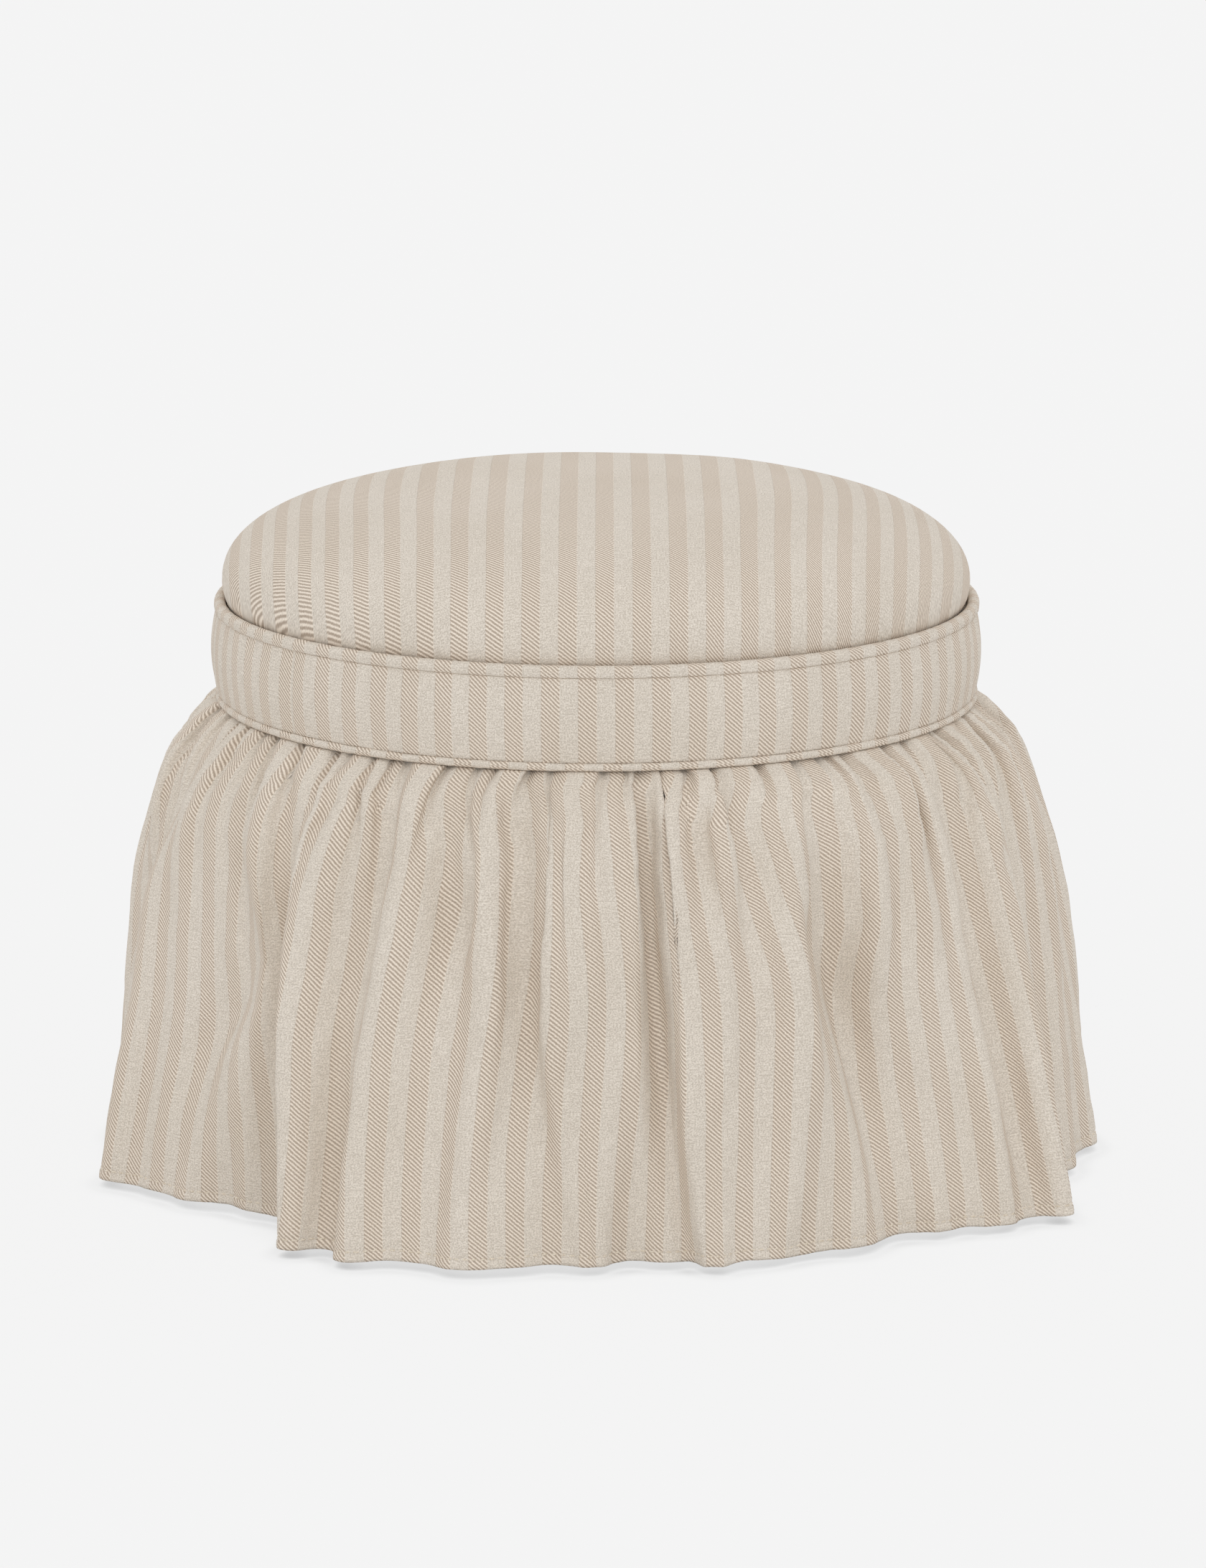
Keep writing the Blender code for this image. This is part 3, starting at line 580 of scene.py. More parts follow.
# main folds: each row eases by a half cosine from one fold line to the next; returns a fine round of
# azimuths and, for each row, the radius there and the length of the row up to there
def mainFolds(rows, fall):
    azimuths = np.radians([line[0] for line in skirt["folds"]]).T
    standOuts = np.array([line[1] for line in skirt["folds"]], float).T / 1000 * skirt["foldGain"]
    knots = np.append(skirt["foldDrops"], fall)
    azimuth = throughDrops(rows, knots, np.concatenate([azimuths[:1], azimuths]))
    standOut = throughDrops(rows, knots, np.concatenate([skirt["topShare"] * standOuts[:1], standOuts]))
    fine = roundOf(skirt["finer"] * skirt["columns"], 1)
    radii, lengths = [], []
    for row, lineTurn, lineOut in zip(rows, azimuth, standOut):
        whole = np.concatenate([lineTurn, lineTurn[1:-1] + np.pi])
        knotTurn = np.concatenate([whole + k * fullTurn for k in (-1, 0, 1)])
        knotOut = np.tile(np.concatenate([lineOut, lineOut[1:-1]]), 3)
        k = np.clip(np.searchsorted(knotTurn, fine, side="right") - 1, 0, len(knotTurn) - 2)
        t = (fine - knotTurn[k]) / np.maximum(knotTurn[k + 1] - knotTurn[k], skirt["leastGap"])
        radius = flareAt(row) + knotOut[k] + (knotOut[k + 1] - knotOut[k]) * (1 - np.cos(np.pi * t)) / 2
        for crease in skirt["creases"]:  # a bell curve across each crease, whose depth fades at its ends
            line = np.interp(1000 * row, crease["drop"], crease["azimuth"])
            depth = np.interp(1000 * row, crease["drop"], crease["depth"])
            radius = radius - depth / 1000 * np.exp(-((np.degrees(fine) - line) / crease["width"]) ** 2)
        radii.append(radius)
        lengths.append(alongProfile(np.stack([radius * np.sin(fine), -radius * np.cos(fine)], 1)))
    return fine, np.array(radii), np.array(lengths)


# cloth on the main folds: each column lies at its share of the row's length, eased so that no large part of
# the row drifts round as a whole
def spreadAlong(fine, radii, lengths, shares):
    columns = shares.shape[1]
    even = roundOf(columns)
    turns, outs = [], []
    for radius, length, share in zip(radii, lengths, shares):
        waves = np.fft.rfft(np.interp(share * length[-1], length, fine) - even)
        waves[skirt["driftTurns"] + 1:] = 0
        drift = np.fft.irfft(waves, columns) * np.mean(radius)
        place = np.mod(share * length[-1] - drift, length[-1])
        turn = np.interp(place, length, fine)
        turns.append(turn + fullTurn * np.round((even - turn) / fullTurn))
        outs.append(np.interp(place, length, radius))
    return np.array(turns), np.array(outs)


# gathers: the heading is cut into uneven cells, and in each the cloth leans out, over a flat ridge and back
# (lean = a smooth step of the cos of the place in the cell, steeper beyond its crest), which leaves a valley
# between cells; the valleys slant this way and that as they run down
def gatherLean(made, place, drop, width, rng):
    count = made["cells"]
    widths = rng.uniform(*made["uneven"], count)
    edges = np.concatenate([[0], np.cumsum(widths)]) / widths.sum() * width
    steep = rng.uniform(*skirt["steep"], count)
    low, high = made["reach"]
    reach = low + (high - low) * rng.random(count) ** skirt["reachPower"]
    slant = made["slant"] * (skirt["slantMean"] + ripples(skirt["slants"], place / width, 0 * drop))
    place = np.mod(place - slant * np.minimum(drop, skirt["slantDrop"]), width)
    cell = np.clip(np.searchsorted(edges, place, side="right") - 1, 0, count - 1)
    within = (place - edges[cell]) / (edges[cell + 1] - edges[cell])
    fade = np.exp(-(drop / reach[cell]) ** skirt["fadePower"]) * ease(-1e-4, made["onset"], drop)
    crest = made["crest"]
    lean = np.cos(np.pi * within ** (math.log(0.5) / math.log(crest)))
    back = np.where(lean < 0, crest / (1 - crest), 1)
    return steep[cell] * fade * (np.sign(lean) * ease(*made["wall"], np.abs(lean)) * back)


# keeps what changes faster than a few folds round the row, so that rows don't drift from each other
def fastPart(values, turns):
    waves = np.fft.rfft(values, axis=1)
    keep = 1 - np.exp(-(np.arange(waves.shape[1]) / turns) ** 2)
    return np.fft.irfft(waves * keep[None, :], values.shape[1], axis=1)


# skirt surface: on the main folds lie gathers and middle folds, whose lean is scaled so that each row takes
# up the cloth's whole width, and summed as sin outwards and cos along the row
def skirtSurface():
    rng = np.random.default_rng(skirt["seed"])
    width = skirt["repeats"] * cloth["period"]
    columns = skirt["columns"]
    step = width / columns
    fall = skirt["outZ"] - skirt["hemZ"]
    rows = fall * np.linspace(0, 1, skirt["rows"]) ** skirt["rowPower"]
    rows = np.concatenate([rows[rows < fall - skirt["hemClear"]], fall - np.array(skirt["hemRows"])])
    drop = rows[:, None]
    share = np.arange(columns)[None, :] / columns
    s = share * width
    fine, foldRadius, foldLength = mainFolds(rows, fall)
    mainLength = foldLength[:, -1]
    print("skirt laid out, longest row over cloth width:", round(mainLength.max() / width, 3))
    middleFade = 1 - skirt["middleLoss"] * ease(*skirt["middleFade"], drop)
    middleShare = skirt["middle"] * ease(*skirt["middleOnset"], drop) * middleFade
    gatherPlace = s + ripples(skirt["sway"], share, drop) * ease(*skirt["swayOnset"], drop)
    lean = middleShare * ripples(skirt["middleFolds"], share, drop)
    for made in skirt["gathers"]:
        lean = lean + made["weight"] * gatherLean(made, gatherPlace, drop, width, rng)
    lean = (np.roll(lean, -1, 1) + 2 * lean + np.roll(lean, 1, 1)) / 4
    # the lean is scaled until its mean cos is what the row's length allows
    wanted = np.minimum(mainLength[:, None] * skirt["takeUp"] / width, skirt["flattest"])
    low, high = np.zeros_like(drop), np.full_like(drop, skirt["maxScale"])
    for _ in range(skirt["halvings"]):
        scale = (low + high) / 2
        tilt = np.clip(scale * lean, -skirt["maxTilt"], skirt["maxTilt"])
        tooShort = np.cos(tilt).mean(1, keepdims=True) < wanted
        high, low = np.where(tooShort, scale, high), np.where(tooShort, low, scale)
    rise, forward = np.sin(tilt), np.cos(tilt)
    ridges = fastPart(np.cumsum(rise - rise.mean(1, keepdims=True), 1) * step, skirt["ridgeTurns"])
    shift = fastPart(np.cumsum(forward - forward.mean(1, keepdims=True), 1) * step, skirt["shiftTurns"])
    # where the cloth leans more it takes up less of its row
    taken = forward - fastPart(forward, skirt["shiftTurns"])
    taken = np.cumsum(taken, 1) / taken.sum(1, keepdims=True)
    mainTurn, mainRadius = spreadAlong(fine, foldRadius, foldLength, taken - taken[:, :1])
    crests = np.quantile(ridges, skirt["crestShare"], axis=1, keepdims=True)
    ridges = ridges - crests * (skirt["sink"] + (1 - skirt["sink"]) * ease(*skirt["sinkDrop"], drop))
    main = onRound(mainRadius, mainTurn, skirt["outZ"] - drop)
    along = unit(np.roll(main, -1, 1) - np.roll(main, 1, 1))
    outward = np.stack([along[..., 1], -along[..., 0], np.zeros_like(mainRadius)], -1)
    return s[0], rows, main + outward * ridges[..., None] + along * shift[..., None], mainTurn, width


settling = {"frames": 16, "gravity": 0.15, "hold": 0.20, "pinnedDrop": 0.003, "freeDrop": 0.070}
clothSettings = {  # by Blender's own names
    "quality": 6, "mass": 0.02, "air_damping": 1.0, "pin_stiffness": 1.0, "vertex_group_mass": "held",
    "tension_stiffness": 30.0, "compression_stiffness": 30.0, "shear_stiffness": 12.0,
    "bending_stiffness": 0.6, "tension_damping": 6.0, "compression_damping": 6.0, "shear_damping": 6.0,
    "bending_damping": 0.5,
}


# settled cloth: the shape above becomes Blender cloth whose threads want their flat length, held at the
# gathers and drawn back a little to where it hung, and is read off after a few frames
def settleCloth(points, flat, hold):
    rows, columns = points.shape[:2]
    index = np.arange(rows * columns).reshape(rows, columns)
    faces = gridFaces(index, np.zeros((rows, columns + 1, 2)), closeColumns=True)[0]
    mesh = bpy.data.meshes.new("settling")
    mesh.from_pydata(points.reshape(-1, 3), [], faces.tolist())
    piece = addObject("settling", mesh)
    piece.shape_key_add(name="hung")
    rest = piece.shape_key_add(name="flat")
    rest.data.foreach_set("co", flat.astype(np.float32).ravel())
    group = piece.vertex_groups.new(name="held")
    for row, weight in zip(index, hold):
        group.add(row.tolist(), float(weight), "REPLACE")
    modifier = piece.modifiers.new("settle", "CLOTH")
    for key, value in clothSettings.items():
        setattr(modifier.settings, key, value)
    modifier.settings.rest_shape_key = rest
    modifier.settings.effector_weights.gravity = settling["gravity"]
    scene = bpy.context.scene
    modifier.point_cache.frame_start, modifier.point_cache.frame_end = 1, settling["frames"]
    for frameNumber in range(1, settling["frames"] + 1):
        scene.frame_set(frameNumber)
    settled = np.empty(points.size, np.float32)
    piece.evaluated_get(bpy.context.evaluated_depsgraph_get()).data.vertices.foreach_get("co", settled)
    scene.frame_set(1)
    bpy.data.objects.remove(piece)
    bpy.data.meshes.remove(mesh)
    return settled.reshape(points.shape).astype(float)


# outward normals of a closed grid, from the slopes along its rows and columns
def gridNormals(points):
    alongColumns = np.roll(points, -1, 1) - np.roll(points, 1, 1)
    alongRows = np.gradient(points, axis=0)
    normal = unit(np.cross(alongRows, alongColumns))
    outward = np.sign((normal[..., :2] * points[..., :2]).sum(2).mean())
    return normal * outward


# settled skirt: every other column is settled, and each column between follows its four neighbours
def settledSkirt(outer, rows, width):
    coarse = outer[:, ::2]
    flatTurn = roundOf(coarse.shape[1])[None, :]
    flat = onRound(width / fullTurn, flatTurn, -clothLength(rows, rows[-1])[:, None])
    nearTop = ease(settling["freeDrop"], settling["pinnedDrop"], rows)
    move = settleCloth(coarse, flat, settling["hold"] + (1 - settling["hold"]) * nearTop) - coarse
    size = 1000 * np.abs(move)
    print("skirt settled, largest and mean move in mm:", round(size.max(), 2), round(size.mean(), 2))
    between = (9 * (move + np.roll(move, -1, 1)) - np.roll(move, 1, 1) - np.roll(move, -2, 1)) / 16
    return outer + np.stack([move, between], 2).reshape(outer.shape)


# every other row, and always the last
def everyOther(values):
    return values[0::2] if len(values) % 2 else np.concatenate([values[0:-1:2], values[-1:]])


# skirt: the settled surface with small crumples, an inner side half as fine, a heading and a hem
def makeSkirt():
    s, rows, outer, turn, width = skirtSurface()
    columns, fall = skirt["columns"], rows[-1]
    outer = settledSkirt(outer, rows, width)
    share = np.arange(columns)[None, :] / columns
    drop = rows[:, None]
    fromHem = fall - drop
    normal = gridNormals(outer)
    # small crumples, puckers along the hem, and the hem's own roll: in at the stitches, out below them
    crumple = ripples(skirt["crumple"], share, drop) * ease(*skirt["crumpleOnset"], drop)
    nearHem = ease(*[fall - rise for rise in skirt["puckerRise"]], drop)
    pucker = ripples(skirt["pucker"], share, drop) * nearHem
    rollSize, rollRise, rollWidth = skirt["roll"]
    grooveSize, grooveWidth = skirt["groove"]
    roll = rollSize * np.exp(-((fromHem - rollRise) / rollWidth) ** 2)
    roll = roll - grooveSize * np.exp(-((fromHem - skirt["hemRows"][1]) / grooveWidth) ** 2)
    outer = outer + normal * (crumple + pucker + roll)[..., None]
    lowest = ease(fall - skirt["hemWaveRise"], fall, drop)
    outer[..., 2] += ripples(skirt["hemWave"], share, 0 * drop) * lowest
    normal = gridNormals(outer)
    inHem = ease(*[fall - rise for rise in skirt["hemFoldRise"]], drop)
    thick = skirt["thickness"] + (skirt["hemThickness"] - skirt["thickness"]) * inHem
    inner = (outer - normal * thick[..., None])[:, ::2]
    inner[-1] = (outer[-1] - normal[-1] * skirt["hemEdge"])[::2]
    # the heading runs up the drum behind the band
    headingZ = np.array(skirt["headingZ"])[:, None]
    headings = [
        onRound(onFacets(radius, turn[:1]), turn[:1], headingZ)
        for radius in (skirt["heading"], skirt["heading"] - skirt["thickness"])
    ]
    outer = np.concatenate([headings[0], outer])
    inner = np.concatenate([headings[1][:, ::2], everyOther(inner)])
    headingV = -(skirt["headingZ"][0] - headingZ[::-1, 0]) - skirt["headingGap"]
    sEnd = np.append(s, width)
    outerV = np.concatenate([headingV, clothLength(rows, fall)])[:, None]
    innerV = np.concatenate([headingV, clothLength(everyOther(rows), fall)])[:, None]
    uvOut, uvIn = together(sEnd[None, :], outerV), together(sEnd[None, ::2], innerV)
    indexOut = np.arange(outer.shape[0] * columns).reshape(-1, columns)
    indexIn = indexOut.size + np.arange(inner.shape[0] * (columns // 2)).reshape(-1, columns // 2)
    patches = [
        gridFaces(indexOut, uvOut, closeColumns=True), turned(gridFaces(indexIn, uvIn, closeColumns=True)),
        joinRows(indexOut[-1], indexIn[-1], uvOut[-1], uvIn[-1]),
        turned(joinRows(indexOut[0], indexIn[0], uvOut[0], uvIn[0])),
    ]
    points = np.concatenate([outer.reshape(-1, 3), inner.reshape(-1, 3)])
    piece = makePiece("skirtCloth", points, patches, "base", "striped_cloth", ["skirt"])
    stitches = makeStitches(outer[len(headingZ):], rows, width)


stitch = {
    "length": 0.0040, "pitch": 0.0056, "radius": 0.00060, "end": 0.00003, "roundness": 0.52,
    "lift": 0.0002, "sink": 0.0005, "rings": 5, "around": 6,
}


# hem stitches: short bars of thread that follow the cloth, thick in the middle (their radius is an arc of an
# ellipse) and sunk at both ends
def makeStitches(outer, rows, width):
    row = int(np.argmin(np.abs(rows - (rows[-1] - skirt["hemRows"][1]))))
    count = int(round(width / stitch["pitch"]))
    along = np.linspace(-0.5, 0.5, stitch["rings"])
    place = (np.arange(count) + 0.5)[:, None] * width / count + along[None, :] * stitch["length"]
    columns = np.arange(skirt["columns"] + 1) * width / skirt["columns"]
    place = np.mod(place, width)

    def sample(values):
        closed = np.concatenate([values, values[:1]])
        return np.stack([np.interp(place, columns, closed[:, k]) for k in range(3)], -1)

    centre, normal = sample(outer[row]), unit(sample(gridNormals(outer)[row]))
    side = np.cross(unit(np.gradient(centre, axis=1)), normal)
    full = np.sqrt(np.clip(1 - (along / stitch["roundness"]) ** 2, 0, 1))
    size = (stitch["radius"] * full + stitch["end"])[None, :, None, None]
    lift = stitch["lift"] - stitch["sink"] * (np.abs(along) / 0.5) ** 4
    centre = centre + normal * lift[None, :, None]
    ring = roundOf(stitch["around"], start=0)[None, None, :, None]
    spoke = np.cos(ring) * normal[:, :, None] + np.sin(ring) * side[:, :, None]
    points = centre[:, :, None] + size * spoke
    index = np.arange(points.size // 3).reshape(points.shape[:3])
    after = np.roll(index, -1, 2)
    tubes = np.stack([index[:, :-1], after[:, :-1], after[:, 1:], index[:, 1:]], -1).reshape(-1, 4)
    ends = np.concatenate([index[:, 0, ::-1], index[:, -1]])
    uv = points[..., [0, 2]].reshape(-1, 2)
    patches = [(tubes, uv[tubes]), (ends, uv[ends])]
    return makePiece("hemStitches", points, patches, "base", "striped_cloth", material=hemThread)


makeSkirt()


# Band and piping

band = {
    "edge": 0.2525, "bulge": 0.003, "top": 0.3701, "bottom": 0.3166, "cover": 0.0014,
    "turnIn": 0.220, "inside": 0.2417, "paddingBottom": 0.3269, "foot": 0.0016, "phase": 0.0113,
    "seamAzimuth": -50.0, "seamDepth": 0.0006, "seamWidth": 0.0016,  # where the band's two ends meet
    "columns": 720, "faceRows": 30, "step": 0.006, "backStep": 0.008,
    # steps out and up from the band's upper edge, and from its lower edge
    "shoulder": ((-0.0003, 0.0005), (-0.0045, 0.0005), (-0.0060, 0.0)),
    "footRoll": ((-0.0014, -0.0005), (-0.0008, -0.0003)),
    "face": (-0.0006, 0.0002), "edges": (0.55, 0.98),
    "soft": (31, 0.00045, 18, (6, 46), (-12, 12)), "pucker": (32, 0.00018, 16, (110, 220), (-6, 6)),
}


# band: swelling face (a parabola between its edges), rounded over onto the rim and turned in
def makeBand():
    low, high, edge = band["bottom"], band["top"], band["edge"]
    middle, half = (low + high) / 2, (high - low) / 2
    z = np.linspace(low, high, band["faceRows"])
    face = np.stack([edge + band["bulge"] * (1 - ((z - middle) / half) ** 2), z], 1)
    shoulder = [(edge + out, high + up) for out, up in band["shoulder"]]
    footRoll = [(edge + out, low + up) for out, up in band["footRoll"]]
    turnIn, inside, foot = band["turnIn"], band["inside"], edge - band["foot"]
    under = high - band["cover"]
    inward = fineProfile([(turnIn, high), (turnIn, under), (inside, under)], band["step"])
    back = [(inside, band["paddingBottom"]), (foot, band["paddingBottom"]), (foot, low)]
    profile = np.concatenate([face, shoulder, inward, fineProfile(back, band["backStep"]), footRoll])

    def swell(r, z, azimuth, length):
        onFace = ease(*[edge + out for out in band["face"]], r)
        soft = ripples(band["soft"], turnShare(azimuth), z)
        edges = ease(*band["edges"], np.abs(z - middle) / half)
        pucker = ripples(band["pucker"], turnShare(azimuth), z) * edges
        fromSeam = (azimuth - azimuth[0, 0] + np.pi) % fullTurn - np.pi
        seam = -band["seamDepth"] * np.exp(-(fromSeam * edge / band["seamWidth"]) ** 2)
        return onFace * (soft + pucker + seam), 0

    def uvOf(r, z, azimuth, length):
        return azimuth * cloth["bandRadius"] + band["phase"], high - z - (edge - np.minimum(r, edge))

    piece = turnedPiece("bandCushion", profile, band["columns"], uvOf, swell, "base", "striped_cloth",
                        ["band_cover", "band_padding"], band["seamAzimuth"], ring=True)


# fullness is for the lower and the upper half of the section
piping = {
    "upper": {"ring": 0.2500, "z": 0.3744, "radius": 0.0040, "phase": 0.0118, "stretch": 1.0,
              "seam": 152.0, "fullness": (4.5, 2.0), "seed": 41},
    "lower": {"ring": 0.2510, "z": 0.3136, "radius": 0.0028, "phase": 0.0190, "stretch": 0.964,
              "seam": 168.0, "fullness": (2.2, 2.2), "seed": 42},
    "columns": 600, "around": 24, "sunk": 0.00010, "highest": 0.00005, "downRate": 40,
    "crumple": (0.00010, 20, (60, 260), (-1.5, 1.5)),
}


# piping: a cord in cloth pressed a little square between its neighbours (a superellipse), with slight
# crumples across it
def makePiping(which):
    made = piping[which]
    angle = roundOf(piping["around"], start=0)
    square = np.stack([np.cos(angle), np.sin(angle)], 1)
    power = 2 / np.where(square[:, 1:] < 0, *made["fullness"])
    square = np.sign(square) * np.abs(square) ** power
    profile = np.array([made["ring"], made["z"]]) + made["radius"] * square

    def swell(r, z, azimuth, length):
        waves = (made["seed"], *piping["crumple"])
        crumple = ripples(waves, turnShare(azimuth), piping["downRate"] * (z - made["z"]))
        crumple = np.minimum(crumple - piping["sunk"], piping["highest"])
        return crumple * (r - made["ring"]) / made["radius"], crumple * (z - made["z"]) / made["radius"]

    def uvOf(r, z, azimuth, length):
        return azimuth * cloth["bandRadius"] * made["stretch"] + made["phase"], -length

    stands = [which + "_welt_cover", which + "_welt_cord"]
    turnedPiece(which + "Piping", profile, piping["columns"], uvOf, swell, "base", "striped_cloth", stands,
                made["seam"] - 360, ring=True)


makeBand()
makePiping("upper")
makePiping("lower")


# Lid cushion

lid = {
    "seat": 0.3704, "foot": 0.238, "tuck": 0.010, "widest": 0.0195, "height": 0.0865,
    "sidePower": 2.77, "topPower": 2.24, "footPower": 2.0, "crownSteps": 70, "crownEase": 1.15,
    "crownRows": 62, "sideRows": 12, "columns": 288, "step": 0.02,
    "turnUnder": 0.196, "cover": 0.0014, "boardSide": 0.2336, "boardTop": 0.0142,
    "sideDraw": 0.20, "drawStart": 0.12, "underHem": 0.05, "phase": 0.0005,
    "soft": (51, 0.0007, 16, (1, 7), (-7, 7)), "softOnset": (0.0, 0.12),
    "pulls": (52, 0.00022, 18, (60, 130), (-5, 5)),
    "pullRise": (0.05, 0.005), "edgeFade": 0.02, "outMove": (0.15, 0.248), "upMove": (0.248, 0.10),
}


# lid: over the crown (a superellipse), in round the tucked side to the foot, under the board's edge and back
# over the board
def makeLid():
    t = np.linspace(0, 1, lid["crownSteps"])
    a = (1 - t) ** lid["crownEase"] * np.pi / 2
    widest = lid["foot"] + lid["tuck"]
    crownR = widest * np.cos(a) ** (2 / lid["sidePower"])
    crownZ = lid["widest"] + (lid["height"] - lid["widest"]) * np.sin(a) ** (2 / lid["topPower"])
    crown = np.stack([crownR, crownZ], 1)
    crown[0] = (0, lid["height"])
    crown = atLengths(crown, np.linspace(0, alongProfile(crown)[-1], lid["crownRows"]))
    b = np.linspace(0, np.pi / 2, lid["sideRows"])[1:]
    foot = 2 / lid["footPower"]
    sideR = lid["foot"] + lid["tuck"] * np.cos(b) ** foot
    side = np.stack([sideR, lid["widest"] * (1 - np.sin(b) ** foot)], 1)
    side[-1] = (lid["foot"], 0)
    under = [
        (lid["foot"], 0), (lid["turnUnder"], 0), (lid["turnUnder"], lid["cover"]),
        (lid["boardSide"], lid["cover"]), (lid["boardSide"], lid["boardTop"]), (0, lid["boardTop"]),
    ]
    profile = np.concatenate([crown, side, fineProfile(under, lid["step"])[1:]])
    profile[:, 1] += lid["seat"]
    edgeLength = alongProfile(profile)[len(crown) + len(side) - 1]

    def swell(r, z, azimuth, length):
        turn = turnShare(azimuth)
        outside = ease(edgeLength, edgeLength - lid["edgeFade"], length)
        nearEdge = ease(*[edgeLength - rise for rise in lid["pullRise"]], length)
        soft = ripples(lid["soft"], turn, length) * ease(*lid["softOnset"], length)
        move = (soft + ripples(lid["pulls"], turn, length) * nearEdge) * outside
        return move * ease(*lid["outMove"], r), move * ease(*lid["upMove"], r)

    # stripes run from front to back: across them goes x, drawn in down the sides, and along them the length
    # over the crown
    def uvOf(r, z, azimuth, length):
        drawn = lid["sideDraw"] * ease(lid["drawStart"], edgeLength, length) * np.sin(azimuth) ** 2
        along = np.minimum(length, edgeLength + lid["underHem"]) * np.cos(azimuth)
        return r * np.sin(azimuth) * (1 + drawn) + lid["phase"], along

    stands = ["lid_cover", "lid_batting", "lid_foam"]
    piece = turnedPiece("lidCushion", profile, lid["columns"], uvOf, swell, "lid", "striped_cloth", stands)


makeLid()


# Linings

wall = {
    "inside": 0.2076, "outside": 0.2087, "floor": 0.0238, "rimTop": 0.3689, "rimEdge": 0.2193, "top": 0.3698,
    "bend": 0.0006, "shown": 0.0004, "topFade": 0.03, "columns": 360, "step": 0.012,
    "flat": (1.33, 0.36), "rippleMean": 0.0003, "rippleMost": 0.0009,
    "ripple": (61, 0.0003, 16, (8, 40), (-3, 3)),
}


# wall lining: up the inside of the drum and turned out over the rim, with soft upright ripples
def makeWallLining():
    inside, outside, top = wall["inside"], wall["outside"], wall["top"]
    profile = fineProfile([
        (inside, wall["floor"]), (inside, top - wall["bend"]), (inside + wall["bend"], top),
        (wall["rimEdge"], top), (wall["rimEdge"], wall["rimTop"]), (outside, wall["rimTop"]),
        (outside, wall["floor"]),
    ], wall["step"])

    def swell(r, z, azimuth, length):
        shown = ease(inside + wall["shown"], inside, r) * ease(top, top - wall["topFade"], z)
        wave = wall["rippleMean"] + ripples(wall["ripple"], turnShare(azimuth), z)
        return -shown * np.clip(wave, 0, wall["rippleMost"]), 0

    def uvOf(r, z, azimuth, length):
        return azimuth * inside, z + (r - inside)

    piece = turnedPiece("wallLining", profile, wall["columns"], uvOf, swell, "base", "lining_cloth",
                        ["wall_liner"], ring=True)


# what the round linings share: shows is +1 for a sheet seen from above and -1 for one seen from below, and
# wrap is the radius and the height of an edge that is turned up
discForm = {
    "columns": 180, "rows": 26, "step": 0.009, "bend": 0.001, "onset": (0.0, 0.05), "edgeFade": 0.02,
    "ripple": (0.5, 14, (1, 9), (-14, 14)), "mean": 0.5, "most": 1.6, "shows": -1, "wrap": None,
    "body": "base", "slot": "lining_cloth", "rests": "base_board", "held": "stretched",
}
discs = {
    "floorLining": {"radius": 0.2072, "low": 0.0238, "high": 0.0257, "soft": 0.0012, "seed": 71, "shows": 1,
                    "stands": "floor_liner", "held": "laid"},
    "plugLining": {"radius": 0.2053, "low": 0.3598, "high": 0.3608, "soft": 0.0004, "seed": 72,
                   "wrap": (0.2062, 0.3698), "body": "lid", "stands": "lid_lining", "rests": "lid_plug"},
    "dustCover": {"radius": 0.2405, "low": 0.0103, "high": 0.0111, "soft": 0.0002, "seed": 73,
                  "slot": "black_cambric", "stands": "dust_cover"},
}


# flat lining: a round sheet with a soft rise and small ripples, and its edge turned up if there is a wrap
def makeDisc(name, made):
    radius, low, high, shows = made["radius"], made["low"], made["high"], made["shows"]
    if made["wrap"]:  # under the plug, then up its side
        outer, upTo = made["wrap"]
        bend = made["bend"]
        profile = fineProfile([
            (0, low), (outer - bend, low), (outer, low + bend), (outer, upTo), (radius, upTo),
            (radius, high), (0, high),
        ], made["step"])
    else:
        upTo = low
        top = np.linspace(0, 1, made["rows"])[:, None] * [radius, 0] + [0, high]
        below = fineProfile([(radius, high), (radius, low), (0, low)], made["step"])
        profile = np.concatenate([top, below[1:]])

    def swell(r, z, azimuth, length):
        side = np.abs(z - (high if shows > 0 else low)) < 1e-6
        inner = ease(*made["onset"], r) * ease(radius, radius - made["edgeFade"], r)
        wave = ripples((made["seed"], *made["ripple"]), turnShare(azimuth), r)
        return 0, made["soft"] * shows * side * inner * np.clip(made["mean"] + wave, 0, made["most"])

    def uvOf(r, z, azimuth, length):
        reach = r + np.abs(z - low) * (r > radius - 1e-6)
        return reach * np.sin(azimuth), reach * np.cos(azimuth)

    piece = turnedPiece(name, profile, made["columns"], uvOf, swell, made["body"], made["slot"],
                        [made["stands"]])


makeWallLining()
for name, made in discs.items():
    makeDisc(name, {**discForm, **made})


# Stage: floor, light and camera

stage = {
    "background": 0.9047, "floorSpan": 60.0, "worldLight": 0.94, "skyTop": 0.77,
    "floorGlow": 0.94, "glowGrey": 0.917, "floorGrey": 0.82,
    "shadowReach": 0.018, "shadowDepth": 0.7,
    "underReach": 0.20, "underShade": 0.20, "underSky": (0.15, 0.5), "skySamples": 16,
    "aim": (0.0042, 0.0, 0.248), "distance": 4.1, "elevation": 12.33, "farthest": 200,
    "lens": 140.62, "sensor": 36.0,  # in mm
    # strength, azimuth, elevation and spread of each sun, the last three in degrees
    "suns": {"softKey": (0.38, 2, 30, 40), "softFill": (0.10, 180, 40, 70)},
}


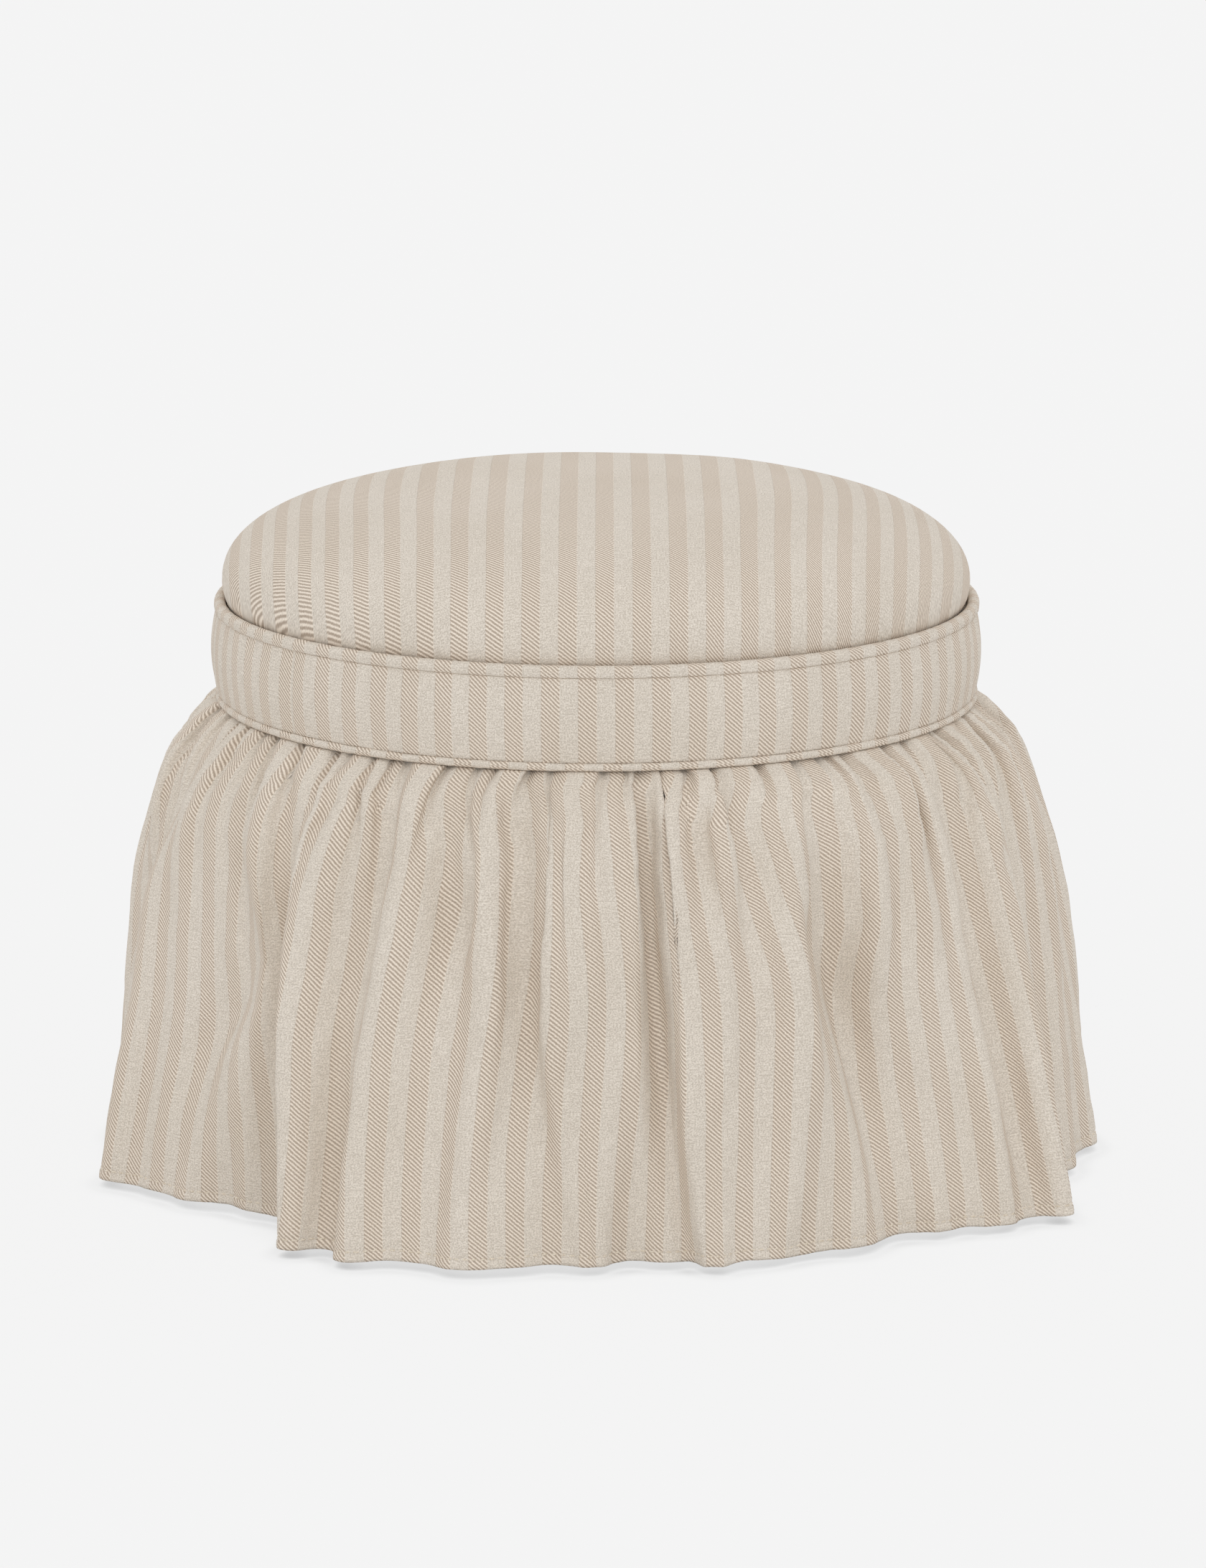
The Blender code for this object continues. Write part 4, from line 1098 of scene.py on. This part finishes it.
# 1 for rays that should see the plain background
def plainView(tree):
    path = addNode(tree, "ShaderNodeLightPath").outputs
    mirrored = mathNode("MAXIMUM", path["Is Glossy Ray"], path["Is Transmission Ray"])
    return mathNode("MAXIMUM", path["Is Camera Ray"], mirrored)


# share of the sky that a point of the floor sees past whatever is within reach
def openSky(tree, reach):
    given = {"Distance": reach}
    return addNode(tree, "ShaderNodeAmbientOcclusion", given, samples=stage["skySamples"]).outputs["AO"]


def makeFloor():
    span = stage["floorSpan"] / 2
    corners = [(-span, -span, 0), (span, -span, 0), (span, span, 0), (-span, span, 0)]
    mesh = bpy.data.meshes.new("floor")
    mesh.from_pydata(corners, [], [(0, 1, 2, 3)])
    addObject("floor", mesh)
    material = bpy.data.materials.new("paleFloor")
    material.use_nodes = True
    tree = material.node_tree
    tree.nodes.clear()
    matt = addNode(tree, "ShaderNodeBsdfDiffuse", {"Color": grey(stage["floorGrey"])})
    # the shadow is close to the hem and fades within a few millimetres; under the skirt lies a lighter shade
    nearSky, farSky = openSky(tree, stage["shadowReach"]), openSky(tree, stage["underReach"])
    shadow = rangeNode(nearSky, 0.0, 1.0, 1 - stage["shadowDepth"], 1.0)
    shade = rangeNode(farSky, *stage["underSky"], 1 - stage["underShade"], 1.0)
    given = {"Color": grey(stage["glowGrey"]), "Strength": times(shadow, shade)}
    glow = addNode(tree, "ShaderNodeEmission", given)
    mixed = mixShader(times(plainView(tree), stage["floorGlow"]), matt, glow)
    addNode(tree, "ShaderNodeOutputMaterial", {0: mixed})
    mesh.materials.append(material)


def makeWorld():
    world = bpy.data.worlds.new("paleRoom")
    bpy.context.scene.world = world
    world.use_nodes = True
    tree = world.node_tree
    tree.nodes.clear()
    # the sky dims from the horizon to overhead
    up = axisOf(addNode(tree, "ShaderNodeTexCoord").outputs["Generated"], 2)
    sky = rangeNode(up, 0.0, 1.0, stage["worldLight"], stage["skyTop"])
    light = addNode(tree, "ShaderNodeBackground", {"Color": grey(1), "Strength": sky})
    seen = addNode(tree, "ShaderNodeBackground", {"Color": grey(stage["background"])})
    addNode(tree, "ShaderNodeOutputWorld", {0: mixShader(plainView(tree), light, seen)})


def makeSun(name, strength, azimuth, elevation, spread):
    lamp = bpy.data.lights.new(name, "SUN")
    lamp.energy, lamp.angle = strength, math.radians(spread)
    addObject(name, lamp).rotation_euler = (math.radians(90 - elevation), 0, math.radians(azimuth))


def makeCamera():
    lens = bpy.data.cameras.new("photoCamera")
    lens.lens, lens.sensor_width, lens.sensor_fit = stage["lens"], stage["sensor"], "AUTO"
    lens.clip_end = stage["farthest"]
    camera = addObject("photoCamera", lens)
    up = math.radians(stage["elevation"])
    aim = np.array(stage["aim"])
    camera.location = aim + stage["distance"] * np.array([0, -math.cos(up), math.sin(up)])
    camera.rotation_euler = (math.pi / 2 - up, 0, 0)
    bpy.context.scene.camera = camera


makeFloor()
makeWorld()
for name, made in stage["suns"].items():
    makeSun(name, *made)
makeCamera()
bpy.context.scene.view_settings.view_transform = "Standard"
print("stage set")
